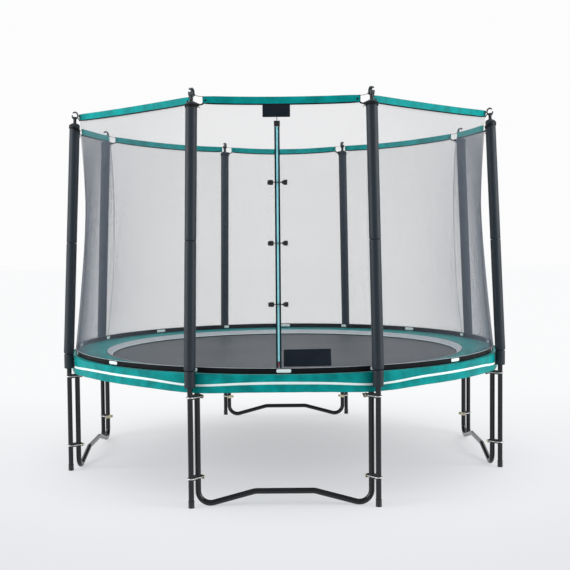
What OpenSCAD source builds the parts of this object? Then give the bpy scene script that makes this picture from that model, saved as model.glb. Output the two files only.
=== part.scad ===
// Round garden trampoline with a net enclosure, sprung mat, padded rim and a zipped door.
// Millimetres, +Z up, origin on the ground under the middle of the mat. The door faces -Y.
// An azimuth is measured from the door side (-Y) towards +X.

/* [Frame] */
// Radius of the top rail's centreline
rail_r = 1506; // [1300:1:1700]
// Height of the top rail's centreline above the ground
rail_z = 745; // [640:1:850]
// Outside diameter of the top rail tube
rail_od = 38; // [34:1:42]
// Wall of every steel tube
tube_wall = 1.5; // [1.2:0.1:2]
// Azimuth of a leg upright from the middle of its leg
upright_az = 19.7; // [18:0.1:20.2]
// Outside diameter of the leg tube
leg_od = 34; // [30:1:34]
// Outside diameter of the socket under the rail
socket_od = 38; // [37:0.5:38]
// Height of the lower end of a rail socket
socket_z = 690; // [640:1:700]
// Centreline radius of the leg's bend at the ground
leg_bend_r = 72; // [60:1:90]
// Centreline radius of the small bends beside the raised crossbar
bar_bend_r = 100; // [60:1:130]
// Height of the raised crossbar's centreline
bar_z = 85; // [65:1:110]
// Half length of the raised flat part of the crossbar
bar_half = 174; // [120:1:210]
// Height of the joint between leg base and upright
leg_joint_z = 300; // [240:1:420]

/* [Poles] */
// Radius of the circle on which the poles stand
pole_r = 1561; // [1560:1:1600]
// Azimuth of a pole from the middle of its leg
pole_az = 20.4; // [20.2:0.1:21]
// Outside diameter of the pole tube
pole_od = 32; // [28:1:34]
// Height at which the pole starts to lean inwards
lean_z = 800; // [780:1:900]
// Inward lean of the upper pole in degrees
lean_deg = 2.5; // [1.5:0.1:3]
// Height of the top end of the pole tube
pole_top_z = 2352; // [2200:1:2600]
// Outside diameter of the foam sleeve
sleeve_od = 64; // [50:1:64]
// Height of the sleeve's lower end
sleeve_z0 = 700; // [660:1:740]
// Height of the joint between the two long foam sleeves
sleeve_mid_z = 1550; // [1300:1:1800]
// Rounding of the gathered upper end of the sleeve
shoulder_r = 12; // [6:1:14]
// Rounding of the other sleeve ends
edge_r = 4; // [2:0.5:8]
// Outside diameter of the foot cap
foot_od = 36.5; // [36:0.1:40]
// Height of the foot cap
foot_h = 42; // [20:1:60]
// Thickness of the foot cap's bottom
foot_floor = 4; // [2:0.5:6]

/* [Pole top hook] */
// Diameter of the hook's ball
ball_d = 40; // [34:1:46]
// Height of the ball
ball_h = 16; // [10:1:20]
// Height of the neck under the ball
hook_neck_h = 24; // [16:1:34]
// Diameter of the neck
hook_neck_d = 22; // [16:1:26]
// Outside diameter of the open ring
ring_od = 44; // [38:1:50]
// Inside diameter of the open ring
ring_id = 26; // [20:1:30]
// Width of the open ring along its axis
ring_w = 12; // [8:1:20]

/* [Clamps] */
// Height of the lower clamp
clamp_low_z = 172; // [150:1:220]
// Height of the upper clamp
clamp_high_z = 645; // [560:1:655]
// Diameter of the U-bolt rod
ubolt_d = 8; // [6:1:10]
// Height of the saddle between leg and pole
saddle_h = 26; // [16:1:36]
// Width of the saddle
saddle_w = 24; // [16:1:28]
// Thickness of the clamp plate
plate_t = 4; // [3:0.5:6]
// Height of the clamp plate
plate_h = 22; // [18:1:28]
// Thickness of a clamp nut
nut_t = 7; // [5:0.5:9]
// Diameter of the wing knob on the upper clamp
knob_d = 30; // [24:1:36]
// Length of the wing knob
knob_len = 18; // [14:1:26]

/* [Mat and springs] */
// Radius of the jumping mat
mat_r = 1320; // [1300:1:1330]
// Thickness of the mat
mat_t = 1.6; // [1:0.1:3]
// Width of the webbing sewn round the mat's edge
webbing_w = 50; // [30:1:70]
// Width of webbing outside the mat's own edge
webbing_lip = 10; // [8:1:12]
// Thickness of one layer of webbing
webbing_t = 1.2; // [0.8:0.1:2]
// Number of springs, a multiple of eight
spring_count = 64; // [48:8:72]
// Wire thickness of the triangular mat rings
vring_t = 3; // [2.5:0.1:3.6]
// Radial length of a mat ring
vring_len = 30; // [26:1:36]
// Width of a mat ring at the webbing
vring_w = 30; // [24:1:40]
// Width of a mat ring at the spring
vring_tip_w = 14; // [12:1:20]
// Outside diameter of a spring coil
spring_od = 23; // [18:1:24]
// Wire diameter of a spring
spring_wire = 3.2; // [2.4:0.1:4]
// Inside radius of the spring's end loop
loop_r = 4.9; // [4.8:0.1:7]

/* [Rim pad] */
// Inner radius of the teal pad
pad_in_r = 1285; // [1260:1:1300]
// Height of the pad's rim above the ground
pad_rim_z = 782; // [776:1:800]
// Rise of the pad's crown above its rim
pad_crown = 3; // [0:0.5:6]
// Inner radius of the silver border
border_in_r = 1250; // [1230:1:1260]
// Height of the silver border's inner edge
border_z = 751; // [749:0.5:760]
// Thickness of the silver border
border_t = 3; // [1.5:0.1:4]
// Height of the skirt's lower edge
skirt_z = 682; // [650:1:686]
// Thickness of the skirt cloth
skirt_t = 1.8; // [1:0.1:1.9]
// Height of the stripe's lower edge
stripe_z = 725; // [700:1:740]
// Width of the stripe
stripe_w = 20; // [10:1:26]
// Thickness of the stripe
stripe_t = 0.5; // [0.3:0.1:0.6]
// Width of an elastic pad strap
strap_w = 25; // [15:1:30]
// Thickness of an elastic pad strap
strap_t = 0.8; // [0.5:0.1:0.8]

/* [Net] */
// Outer radius of the net at its bottom edge
net_bot_r = 1503; // [1495:1:1505]
// Radius of the net's corners at the top band
net_top_r = 1450; // [1430:1:1455]
// Thickness of the net
net_t = 2; // [1:0.1:3]
// Height of the black hem round the net's bottom
hem_h = 34.7; // [20:0.1:50]
// Thickness of the hem
hem_t = 3; // [2:0.1:4]
// Height of the top band's lower edge
band_z = 2338; // [2200:1:2340]
// Width of the top band
band_h = 48; // [30:1:60]
// Thickness of the top band
band_t = 3; // [2:0.1:4]
// Distance from the band's end to the corner of the net
band_gap = 46; // [36:1:60]
// The same distance where a wide band meets the front pole of a side leg
band_side_gap = 10; // [6:1:40]
// How much lower a side band hangs at its front end
side_fall = 70; // [0:1:90]
// How much higher the bands next to it are tied at that pole
side_rise = 24; // [0:1:30]
// Diameter of the cords at the pole tops
cord_d = 4; // [3:0.5:5]
// Height of a strap round the top of a sleeve
tie_h = 18; // [10:1:24]
// Thickness of a strap round the top of a sleeve
tie_t = 2.5; // [1.5:0.1:4]
// Length of a white tab at the middle of a panel
tab_len = 84; // [60:1:100]
// Length of a white tab beside a pole
tab_side_len = 42; // [30:1:60]
// Height of a white tab
tab_h = 20; // [14:1:26]
// Thickness of a white tab
tab_t = 2; // [1:0.1:3]

/* [Door] */
// Sideways place of the zip from the middle of the door panel
zip_x = -28; // [-60:1:60]
// Width of the zip over both tapes
zip_w = 31; // [26:1:40]
// Width of the toothed strip
teeth_w = 13; // [9:1:15]
// Thickness of the zip tape
tape_t = 1.5; // [1:0.1:2]
// Thickness of the toothed strip
teeth_t = 3; // [2.5:0.1:3.5]
// Distance of the zip's upper end below the band
zip_drop = 129; // [100:1:180]
// Height of the moulded zip cap
cap_h = 34; // [24:1:44]
// Width of the moulded zip cap
cap_w = 35; // [32:1:40]
// Thickness of the moulded zip cap
cap_t = 4; // [3:0.5:6]
// Length of the slider's body
slider_len = 24; // [18:1:30]
// Width of the slider's body
slider_w = 18; // [16:1:22]
// Thickness of the slider's body
slider_t = 3.8; // [3:0.1:4.5]
// Length of the zip pull below its pin
pull_len = 30; // [26:1:31]
// Width of the zip pull
pull_w = 10; // [8:1:11]
// Thickness of the zip pull
pull_t = 2.4; // [2:0.1:3]
// Diameter of the pin that holds the pull
pull_pin_d = 2.4; // [2:0.1:2.8]
// Width of the blank label under the band
label_w = 161; // [120:1:200]
// Height of the blank label
label_h = 73; // [50:1:90]
// Sideways place of the label's middle
label_x = -31; // [-60:1:60]
// Thickness of both labels
label_t = 2; // [1:0.1:3]
// Width of the blank label on the net beside the zip
net_label_w = 276; // [200:1:290]
// Height of the blank label on the net
net_label_h = 98; // [60:1:120]
// Gap between the zip tape and the net label
net_label_gap = 12; // [8:1:30]
// Height of the net label above the net's lower edge
net_label_up = 8; // [2:1:30]
// Height of the lowest buckle above the net's lower edge
buckle_low = 364; // [300:1:420]
// Spacing of the buckles
buckle_step = 353; // [300:1:360]
// Width of one buckle half
buckle_len = 24; // [20:1:28]
// Height of one buckle half
buckle_h = 28; // [22:1:34]
// Thickness of a buckle half
buckle_t = 16; // [16:0.5:18]
// Distance of each buckle half from the zip tape
buckle_gap = 11.5; // [8:0.5:16]
// Length of the tongue held inside the socket
tongue_in = 14; // [10:1:18]
// Height of the tongue
tongue_h = 7; // [5:0.5:10]
// Thickness of the tongue
tongue_t = 3; // [2:0.1:3.2]

/* [Hidden] */
$fn = 64;
seat = 0.3; // gap of a piece that rests on another
run = 0.1; // radial gap of tubes, rods and holes
pin_run = 0.05; // radial gap of the pull's eye on its pin
cut = 1; // overrun of a cutting solid
hair = 0.05; // a straight run's wall lies this far inside the walls of the bends that it joins
lap = 0.2; // overlap of a straight run with a bend
steel = "#202327";
foam = "#333d47";
teal = "#0a8c87";
black = "#17191c";

// --- frame values
rail_rad = rail_od / 2;
leg_rad = leg_od / 2;
pole_rad = pole_od / 2;
sleeve_rad = sleeve_od / 2;
upright_x = rail_r * sin(upright_az);
leg_plane = rail_r * cos(upright_az);
low_x = upright_x - leg_bend_r;
// slope of the leg's rising part, tangent to the ground bend and through the crossbar's corner
rise_x = low_x - bar_half;
rise_z = bar_z - leg_rad - leg_bend_r;
rise_deg = asin(leg_bend_r / norm([rise_x, rise_z])) + atan2(rise_z, rise_x);
bar_tangent = bar_bend_r * tan(rise_deg / 2);
slope_len = norm([rise_x, rise_z]) * cos(asin(leg_bend_r / norm([rise_x, rise_z]))) - bar_tangent;
leg_az = [0, 90, 180, 270];
// azimuths of the eight uprights, poles and net panels, going round from the door
upright_azs = [for (a = leg_az, s = [-1, 1]) a + s * upright_az];
pole_azs = [for (a = leg_az, s = [-1, 1]) a + s * pole_az];
wide_half = 45 - pole_az;
panel_mids = [for (i = [0 : 7]) i * 45];
function panel_half(i) = i % 2 == 0 ? pole_az : wide_half;

// screws through the rail sockets
screw_up = 14;
screw_rad = 2.4;

// --- clamp values, in a plan frame with the pole at the origin and the leg along +X
function plan(r, az) = [r * sin(az), -r * cos(az)];
clamp_d = norm(plan(rail_r, upright_az) - plan(pole_r, pole_az));
ubolt_rad = ubolt_d / 2;
ubolt_half = leg_rad + ubolt_rad + seat;
ubolt_shift = ubolt_half - ubolt_rad - pole_rad - seat;
plate_x = clamp_d + leg_rad + seat;
knob_x = plate_x + plate_t;

// --- mat and spring values, all on the rail's own height
mat_z = rail_z - mat_t / 2;
webbing_out_r = mat_r + webbing_lip;
vring_bar = spring_wire + 0.8;
vring_r0 = mat_r + webbing_lip / 2 - vring_bar / 2;
vring_r1 = vring_r0 + vring_len;
wire_rad = spring_wire / 2;
loop_c = vring_r1 - vring_bar - seat + loop_r;
loop_mid = loop_r + wire_rad;
coil_r0 = loop_c + loop_r;
coil_r1 = rail_r - rail_rad - 20;
hook_r = rail_r - rail_rad + tube_wall + 6;
spring_step = 360 / spring_count;

// --- pad values
pad_out_r = rail_r + rail_rad + 1;
pad_bot_z = rail_z + rail_rad + seat;
skirt_in_r = pad_out_r + seat;
stripe_in_r = skirt_in_r + skirt_t;

// --- net values
net_z = pad_rim_z + pad_crown * 0.45 + hem_h;
hem_z = net_z - hem_h;
door_d = net_top_r * cos(pole_az);
net_mid_r = (net_bot_r + door_d) / 2;
net_h = band_z - net_z;
door_tilt = atan2(net_bot_r - door_d, net_h);
door_len = norm([net_bot_r - door_d, net_h]);
net_cols = 10;
net_rows = 10;

// --- door values along the door's own line
zip_top = door_len - zip_drop;
pin_up = pull_len + 2;
slider_s = pin_up + 6 - slider_len;
slider_n = teeth_t + 2 * seat;
eye_rad = pull_pin_d / 2 + 1;
pin_n = slider_n + slider_t + seat + eye_rad;
tongue_n = pin_n + eye_rad + 0.6;
tape_half = zip_w / 2;
tongue_x0 = zip_x - tape_half - buckle_gap - tongue_in;
tongue_x1 = zip_x + tape_half + buckle_gap;
buckle_s = [for (i = [0 : 2]) buckle_low + i * buckle_step];

// ============ general shapes
module ring_profile(rad) {
    difference() {
        circle(rad);
        circle(rad - tube_wall);
    }
}

module tube(rad, len) {
    linear_extrude(len) ring_profile(rad);
}

// Solid rod between two points
module rod(p, q, rad) {
    d = q - p;
    translate(p) rotate([0, acos(d[2] / norm(d)), atan2(d[1], d[0])]) cylinder(r = rad, h = norm(d));
}

module at_az(az) {
    rotate([0, 0, az]) children();
}

// Flat ring with a rectangular section, or a sector of it round azimuth az
module band_ring(r0, r1, z0, h, az = 0, sweep = 360) {
    translate([0, 0, z0]) rotate([0, 0, az - 90 - sweep / 2])
        rotate_extrude(angle = sweep, $fn = 180) translate([r0, 0]) square([r1 - r0, h]);
}

// ============ legs and rail
// Straight run of a leg along +Z, a hair inside the walls of the bends and lapped into them
module leg_run(len) {
    translate([0, 0, -lap]) linear_extrude(len + 2 * lap) difference() {
        circle(leg_rad - hair);
        circle(leg_rad - tube_wall + hair);
    }
}

// The bends and the slope of one half of a W-shaped leg base, in the plane X-Z
module leg_half() {
    translate([upright_x, 0, leg_rad + leg_bend_r]) leg_run(leg_joint_z - leg_rad - leg_bend_r - lap);
    translate([low_x, 0, leg_rad + leg_bend_r]) rotate([90, 0, 0]) rotate([0, 0, -90 - rise_deg])
        rotate_extrude(angle = 90 + rise_deg) translate([leg_bend_r, 0]) ring_profile(leg_rad);
    translate([low_x, 0, leg_rad + leg_bend_r]) rotate([0, rise_deg, 0]) translate([0, 0, -leg_bend_r])
        rotate([0, -90, 0]) leg_run(slope_len);
    translate([bar_half - bar_tangent, 0, bar_z - bar_bend_r]) rotate([-90, 0, 0]) rotate([0, 0, -90])
        rotate_extrude(angle = rise_deg) translate([bar_bend_r, 0]) ring_profile(leg_rad);
}

module leg_base(az) {
    bar_len = 2 * (bar_half - bar_tangent);
    color(steel) at_az(az) translate([0, -leg_plane, 0]) {
        leg_half();
        mirror([1, 0, 0]) leg_half();
        translate([-bar_len / 2, 0, bar_z]) rotate([0, 90, 0]) leg_run(bar_len);
    }
}

module leg_front() { leg_base(leg_az[0]); }
module leg_right() { leg_base(leg_az[1]); }
module leg_back() { leg_base(leg_az[2]); }
module leg_left() { leg_base(leg_az[3]); }

module leg_uprights() {
    color(steel) for (a = upright_azs) at_az(a) translate([0, -rail_r, leg_joint_z])
        tube(leg_rad, rail_z - rail_rad - seat - leg_joint_z);
}

// One eighth of the rail, with a hole for each spring's hook
module rail_section(i) {
    gap_deg = seat / rail_r * 180 / PI;
    difference() {
        translate([0, 0, rail_z]) rotate([0, 0, i * 45 - 90]) rotate_extrude(angle = 45 - gap_deg, $fn = 180)
            translate([rail_r, 0]) ring_profile(rail_rad);
        for (k = [0 : spring_count / 8 - 1]) at_az(i * 45 + (k + 0.5) * spring_step)
            translate([0, -rail_r + rail_rad - 2 * tube_wall - cut, rail_z]) rotate([-90, 0, 0])
                cylinder(r = wire_rad + 2 * run, h = 2 * tube_wall + 2 * cut);
    }
}

module top_rail() {
    color(steel) for (i = [0 : 7]) rail_section(i);
}

module rail_sockets() {
    color(steel) difference() {
        for (a = upright_azs) at_az(a) translate([0, -rail_r, socket_z]) difference() {
            cylinder(d = socket_od, h = rail_z - rail_rad / 2 - socket_z);
            translate([0, 0, -cut]) cylinder(r = leg_rad + run, h = rail_z);
            translate([0, 0, screw_up]) rotate([90, 0, 0])
                cylinder(r = screw_rad + run, h = socket_od + 2 * cut, center = true);
        }
        translate([0, 0, rail_z]) rotate_extrude($fn = 180) translate([rail_r, 0]) circle(rail_rad + pin_run);
    }
}

// Self-tapping screws that hold each upright in its socket, from the inner side
module socket_screws() {
    color("silver") for (a = upright_azs) at_az(a)
        translate([0, -rail_r + socket_od / 2 + seat, socket_z + screw_up]) rotate([-90, 0, 0]) {
            cylinder(d = 9, h = 3);
            translate([0, 0, leg_rad - socket_od / 2 - seat + run])
                cylinder(r = screw_rad, h = socket_od / 2 - leg_rad + seat);
        }
}

// ============ poles
module on_pole(i) {
    at_az(pole_azs[i]) translate([0, -pole_r, 0]) children();
}

// Frame of the leaning part: local +Z runs up the pole's axis from the bend
module on_lean(i) {
    on_pole(i) translate([0, 0, lean_z]) rotate([-lean_deg, 0, 0]) children();
}

function lean_len(z) = (z - lean_z) / cos(lean_deg);

// What lies above the level cut where the straight and the leaning part meet
module above_bend(i) {
    intersection() {
        children();
        on_pole(i) translate([-pole_r / 2, -pole_r / 2, lean_z + seat]) cube([pole_r, pole_r, 2 * pole_top_z]);
    }
}

module pole(i) {
    color(steel) {
        on_pole(i) translate([0, 0, foot_floor]) tube(pole_rad, lean_z - foot_floor);
        above_bend(i) on_lean(i) translate([0, 0, -2]) tube(pole_rad, lean_len(pole_top_z) + 2);
    }
}

module pole_1() { pole(0); }
module pole_2() { pole(1); }
module pole_3() { pole(2); }
module pole_4() { pole(3); }
module pole_5() { pole(4); }
module pole_6() { pole(5); }
module pole_7() { pole(6); }
module pole_8() { pole(7); }

function arc(x, z, r, a0, a1) = [for (k = [0 : 4]) let (a = a0 + (a1 - a0) * k / 4) [x + r * cos(a), z + r * sin(a)]];

// Foam tube round the pole, with both ends rounded
module foam_tube(len, top_r = edge_r) {
    bore = pole_rad + run;
    rotate_extrude() polygon(concat(
        [[bore, 0]],
        arc(sleeve_rad - edge_r, edge_r, edge_r, -90, 0),
        arc(sleeve_rad - top_r, len - top_r, top_r, 0, 90),
        [[bore, len]]));
}

// Short cuff at the rim, then two long foam sleeves
module sleeve(i) {
    mid = lean_len(sleeve_mid_z);
    color(foam) {
        on_pole(i) translate([0, 0, sleeve_z0]) foam_tube(lean_z - sleeve_z0);
        above_bend(i) on_lean(i) translate([0, 0, -2]) foam_tube(mid + 2 - seat);
        on_lean(i) translate([0, 0, mid]) foam_tube(lean_len(pole_top_z) - mid, shoulder_r);
    }
}

module sleeve_1() { sleeve(0); }
module sleeve_2() { sleeve(1); }
module sleeve_3() { sleeve(2); }
module sleeve_4() { sleeve(3); }
module sleeve_5() { sleeve(4); }
module sleeve_6() { sleeve(5); }
module sleeve_7() { sleeve(6); }
module sleeve_8() { sleeve(7); }

// Plug, neck, ball and open ring on the end of each pole
module pole_hook() {
    plug_len = 30;
    flange_h = 3;
    ball_up = hook_neck_h;
    ring_up = ball_up + ball_h + ring_od / 2 - 2;
    translate([0, 0, -plug_len]) cylinder(r = pole_rad - tube_wall - run, h = plug_len);
    cylinder(d = pole_od + 2, h = flange_h);
    cylinder(d = hook_neck_d, h = ball_up + 1);
    translate([0, 0, ball_up + ball_h / 2]) rotate_extrude() {
        translate([ball_d / 2 - ball_h / 2, 0]) circle(ball_h / 2);
        translate([0, -ball_h / 2]) square([ball_d / 2 - ball_h / 2, ball_h]);
    }
    translate([0, 0, ring_up]) rotate([0, 90, 0]) difference() {
        cylinder(d = ring_od, h = ring_w, center = true);
        cylinder(d = ring_id, h = ring_w + 2, center = true);
        translate([-ring_id * 0.36, -ring_od, -ring_w]) cube([ring_id * 0.72, ring_od, 2 * ring_w]);
    }
}

module pole_hooks() {
    color(black) for (i = [0 : 7]) on_lean(i) translate([0, 0, lean_len(pole_top_z)]) pole_hook();
}

module pole_feet() {
    color(black) for (i = [0 : 7]) on_pole(i) difference() {
        cylinder(d = foot_od, h = foot_h);
        translate([0, 0, foot_floor]) cylinder(r = pole_rad + run, h = foot_h);
    }
}

// ============ clamps between poles and legs
// Plan frame of one clamp: pole axis at the origin, leg axis along +X
module at_clamps(heights) {
    for (i = [0 : 7], z = heights) {
        p = plan(pole_r, pole_azs[i]);
        u = plan(rail_r, upright_azs[i]);
        translate([p[0], p[1], z]) rotate([0, 0, atan2(u[1] - p[1], u[0] - p[0])]) children();
    }
}

clamp_zs = [clamp_low_z, clamp_high_z];

module clamp_ubolts() {
    leg_len = plate_x + plate_t + nut_t + 4 - ubolt_shift;
    color("#c9c2a0") at_clamps(clamp_zs) translate([ubolt_shift, 0, 0]) {
        rotate([0, 0, 90]) rotate_extrude(angle = 180) translate([ubolt_half, 0]) circle(ubolt_rad);
        for (s = [-1, 1]) translate([0, s * ubolt_half, 0]) rotate([0, 90, 0])
            cylinder(r = ubolt_rad, h = leg_len);
    }
}

module clamp_saddles() {
    color(black) at_clamps(clamp_zs) difference() {
        translate([0, -saddle_w / 2, -saddle_h / 2]) cube([clamp_d, saddle_w, saddle_h]);
        cylinder(r = pole_rad + seat, h = saddle_h + 2, center = true);
        translate([clamp_d, 0, 0]) cylinder(r = leg_rad + seat, h = saddle_h + 2, center = true);
    }
}

module clamp_plates() {
    color("#c9c2a0") at_clamps(clamp_zs) difference() {
        translate([plate_x, -ubolt_half - 10, -plate_h / 2]) cube([plate_t, 2 * ubolt_half + 20, plate_h]);
        for (s = [-1, 1]) translate([plate_x - 1, s * ubolt_half, 0]) rotate([0, 90, 0])
            cylinder(r = ubolt_rad + run, h = plate_t + 2);
    }
}

module clamp_nut() {
    difference() {
        cylinder(r = ubolt_rad + 4, h = nut_t, $fn = 6);
        translate([0, 0, -1]) cylinder(r = ubolt_rad + run, h = nut_t + 2);
    }
}

module clamp_nuts() {
    color("#c9c2a0") {
        at_clamps([clamp_low_z]) for (s = [-1, 1])
            translate([knob_x, s * ubolt_half, 0]) rotate([0, 90, 0]) clamp_nut();
        at_clamps([clamp_high_z]) translate([knob_x, -ubolt_half, 0]) rotate([0, 90, 0]) clamp_nut();
    }
}

module clamp_knobs() {
    color("#3a2a24") at_clamps([clamp_high_z]) translate([knob_x, ubolt_half, 0]) rotate([0, 90, 0])
        difference() {
            union() {
                cylinder(d = knob_d * 0.6, h = knob_len);
                for (a = [0 : 120 : 240]) rotate([0, 0, a]) translate([0, -knob_d / 8, knob_len * 0.3])
                    cube([knob_d / 2, knob_d / 4, knob_len * 0.7]);
            }
            translate([0, 0, -1]) cylinder(r = ubolt_rad + run, h = nut_t + 6);
        }
}

// ============ mat and springs
module mat() {
    color("#2a2b2f") translate([0, 0, mat_z]) cylinder(r = mat_r, h = mat_t, $fn = 180);
}

module mat_webbing() {
    in_r = webbing_out_r - webbing_w;
    color(black) difference() {
        band_ring(in_r, webbing_out_r, mat_z - webbing_t, mat_t + 2 * webbing_t);
        band_ring(in_r - cut, mat_r, mat_z, mat_t);
    }
}

// Triangular wire ring: its wide bar is sewn into the webbing, its tip holds the spring
module vring() {
    side = vring_bar / cos(atan2((vring_w - vring_tip_w) / 2, vring_len));
    difference() {
        linear_extrude(vring_t, center = true) polygon([
            [-vring_w / 2, -vring_r0], [vring_w / 2, -vring_r0],
            [vring_tip_w / 2, -vring_r1], [-vring_tip_w / 2, -vring_r1]]);
        linear_extrude(vring_t + 2, center = true) polygon([
            [-vring_w / 2 + side + 1, -vring_r0 - vring_bar], [vring_w / 2 - side - 1, -vring_r0 - vring_bar],
            [vring_tip_w / 2 - side, -vring_r1 + vring_bar], [-vring_tip_w / 2 + side, -vring_r1 + vring_bar]]);
    }
}

module at_springs() {
    for (k = [0 : spring_count - 1]) at_az((k + 0.5) * spring_step) translate([0, 0, rail_z]) children();
}

module mat_rings() {
    color("silver") at_springs() vring();
}

// Each spring has an end loop round the ring's tip and a straight end in the rail's hole
module springs() {
    color("silver") at_springs() {
        translate([0, -loop_c, 0]) rotate([0, 90, 0]) rotate_extrude() translate([loop_mid, 0])
            circle(wire_rad);
        rotate([90, 0, 0]) rotate_extrude() polygon([
            [0, coil_r0], [spring_od / 2, coil_r0], [spring_od / 2, coil_r1], [wire_rad, coil_r1],
            [wire_rad, hook_r], [0, hook_r]]);
    }
}

// ============ rim pad
// Crowned top of the pad as points across its width
pad_pts = 12;
function pad_top(t) = pad_rim_z + pad_crown * (1 - pow(2 * t - 1, 2));

module frame_pad() {
    color(teal) rotate_extrude($fn = 180) polygon(concat(
        [[pad_out_r, pad_bot_z], [pad_in_r, pad_bot_z]],
        [for (k = [0 : pad_pts]) [pad_in_r + (pad_out_r - pad_in_r) * k / pad_pts, pad_top(k / pad_pts)]]));
}

module pad_border() {
    out_r = pad_in_r - seat;
    color("#c3c9cf") rotate_extrude($fn = 180) polygon([
        [border_in_r, border_z], [border_in_r, border_z + border_t],
        [out_r, pad_rim_z], [out_r, pad_rim_z - border_t]]);
}

module pad_skirt() {
    color(teal) band_ring(skirt_in_r, skirt_in_r + skirt_t, skirt_z, pad_rim_z - skirt_z);
}

module skirt_stripe() {
    color("white") band_ring(stripe_in_r, stripe_in_r + stripe_t, stripe_z, stripe_w);
}

// Elastic loops under the rail that hold the pad down
module pad_straps() {
    in_rad = rail_rad + run;
    color(black) for (k = [0 : 15]) at_az(11.25 + 22.5 * k)
        translate([-strap_w / 2, -rail_r, rail_z]) rotate([90, 0, 90]) linear_extrude(strap_w) difference() {
            union() {
                circle(in_rad + strap_t);
                translate([-in_rad - strap_t, 0]) square([2 * (in_rad + strap_t), rail_rad + seat]);
            }
            circle(in_rad);
            translate([-in_rad, 0]) square([2 * in_rad, rail_od]);
        }
}

// ============ net enclosure
// Outer radius of the net at azimuth az from its panel's middle, v from 0 at the hem to 1 at the band
function net_top(i, az) = net_top_r * cos(panel_half(i)) / cos(az);
function net_bow(i, az) = (net_bot_r + net_top(i, az)) / 2 - net_mid_r;
function net_r(i, az, v) = net_bot_r + (net_top(i, az) - net_bot_r) * v - net_bow(i, az) * 4 * v * (1 - v);
function net_az(i, u) = panel_half(i) * (2 * u - 1);
// The corners beside the side legs' front poles are tied lower on the side bands, higher on their neighbours
function corner_fall(i, s) = i == 4 + 2 * s ? side_fall : i == 4 - 3 * s ? -side_rise : 0;
// How much band i hangs below its plain height at the sideways place x
function band_fall(i, x) = let (u = x / (net_top_r * sin(panel_half(i))))
    (corner_fall(i, -1) * (1 - u) + corner_fall(i, 1) * (1 + u)) / 2;
function net_pt(i, c, r, in_by) = let (
    a = net_az(i, c / net_cols) * 0.9999,
    rad = net_r(i, a, r / net_rows) - in_by,
    h = net_h - band_fall(i, net_top(i, a) * sin(a)))
    [rad * sin(a), -rad * cos(a), net_z + h * r / net_rows];

module net(i) {
    nc = net_cols + 1;
    nr = net_rows + 1;
    half = nc * nr;
    pts = [for (t = [0, net_t], r = [0 : net_rows], c = [0 : net_cols]) net_pt(i, c, r, t)];
    outer = [for (r = [0 : net_rows - 1], c = [0 : net_cols - 1]) let (a = r * nc + c)
        each [[a, a + nc, a + nc + 1], [a, a + nc + 1, a + 1]]];
    inner = [for (f = outer) [f[0] + half, f[2] + half, f[1] + half]];
    rim = concat(
        [for (c = [0 : net_cols - 1]) each quad(c, c + 1, c + 1 + half, c + half)],
        [for (c = [0 : net_cols - 1]) let (a = net_rows * nc + c) each quad(a + 1, a, a + half, a + 1 + half)],
        [for (r = [0 : net_rows - 1]) each quad((r + 1) * nc, r * nc, r * nc + half, (r + 1) * nc + half)],
        [for (r = [0 : net_rows - 1]) let (a = r * nc + net_cols)
            each quad(a, a + nc, a + nc + half, a + half)]);
    color([0.75, 0.78, 0.82, 0.35]) at_az(panel_mids[i]) polyhedron(pts, concat(outer, inner, rim));
}

function quad(a, b, c, d) = [[a, b, c], [a, c, d]];

module net_1() { net(0); }
module net_2() { net(1); }
module net_3() { net(2); }
module net_4() { net(3); }
module net_5() { net(4); }
module net_6() { net(5); }
module net_7() { net(6); }
module net_8() { net(7); }

module net_hem() {
    color(black) band_ring(net_bot_r + 0.5 - hem_t, net_bot_r + 0.5, hem_z, hem_h);
}

// White tabs on both faces of the hem, at the middle of each panel and beside each pole
module hem_tabs() {
    r0 = net_bot_r + 0.5;
    z0 = hem_z + (hem_h - tab_h) / 2;
    deg = 180 / PI / r0;
    color("white") for (r = [r0, r0 - hem_t - tab_t - seat]) {
        for (a = panel_mids) band_ring(r, r + tab_t, z0, tab_h, a, tab_len * deg);
        for (a = pole_azs) band_ring(r, r + tab_t, z0, tab_h, a, tab_side_len * deg);
    }
}

function band_d(i) = net_top_r * cos(panel_half(i));
// Sideways place of band i's end on side s, -1 or 1
function band_x(i, s) = let (gap = corner_fall(i, s) < 0 ? band_side_gap : band_gap)
    s * (net_top_r * sin(panel_half(i)) - gap);

module top_band() {
    color(teal) for (i = [0 : 7]) at_az(panel_mids[i])
        translate([0, band_t - 0.5 - band_d(i), band_z]) rotate([90, 0, 0]) linear_extrude(band_t)
            polygon([for (e = [[-1, 0], [1, 0], [1, band_h], [-1, band_h]])
                [band_x(i, e[0]), e[1] - band_fall(i, band_x(i, e[0]))]]);
}

// End of band i on side s, as a point on its middle plane at height z above its lower edge
function band_end(i, s, z) = let (
    a = panel_mids[i],
    x = band_x(i, s),
    y = band_t / 2 - 0.5 - band_d(i))
    [x * cos(a) - y * sin(a), x * sin(a) + y * cos(a), band_z - band_fall(i, x) + z];
function pole_axis(i, t) = let (r = pole_r - t * sin(lean_deg), p = plan(r, pole_azs[i]))
    [p[0], p[1], lean_z + t * cos(lean_deg)];
function toward(p, q, d) = p + (q - p) * d / norm(q - p);

// Strap round sleeve i with its middle t up the pole's leaning part
module tie_strap(i, t) {
    on_lean(i) translate([0, 0, t - tie_h / 2]) difference() {
        cylinder(r = sleeve_rad + seat + tie_t, h = tie_h);
        translate([0, 0, -1]) cylinder(r = sleeve_rad + seat, h = tie_h + 2);
    }
}

// Cord from a band's end to what lies round the pole's axis at distance t, stopping short by its radius
module tie_cord(end, i, t, stop) {
    at = pole_axis(i, t);
    rod(toward(end, at, cord_d / 2 + seat), toward(at, end, stop), cord_d / 2);
}

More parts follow.
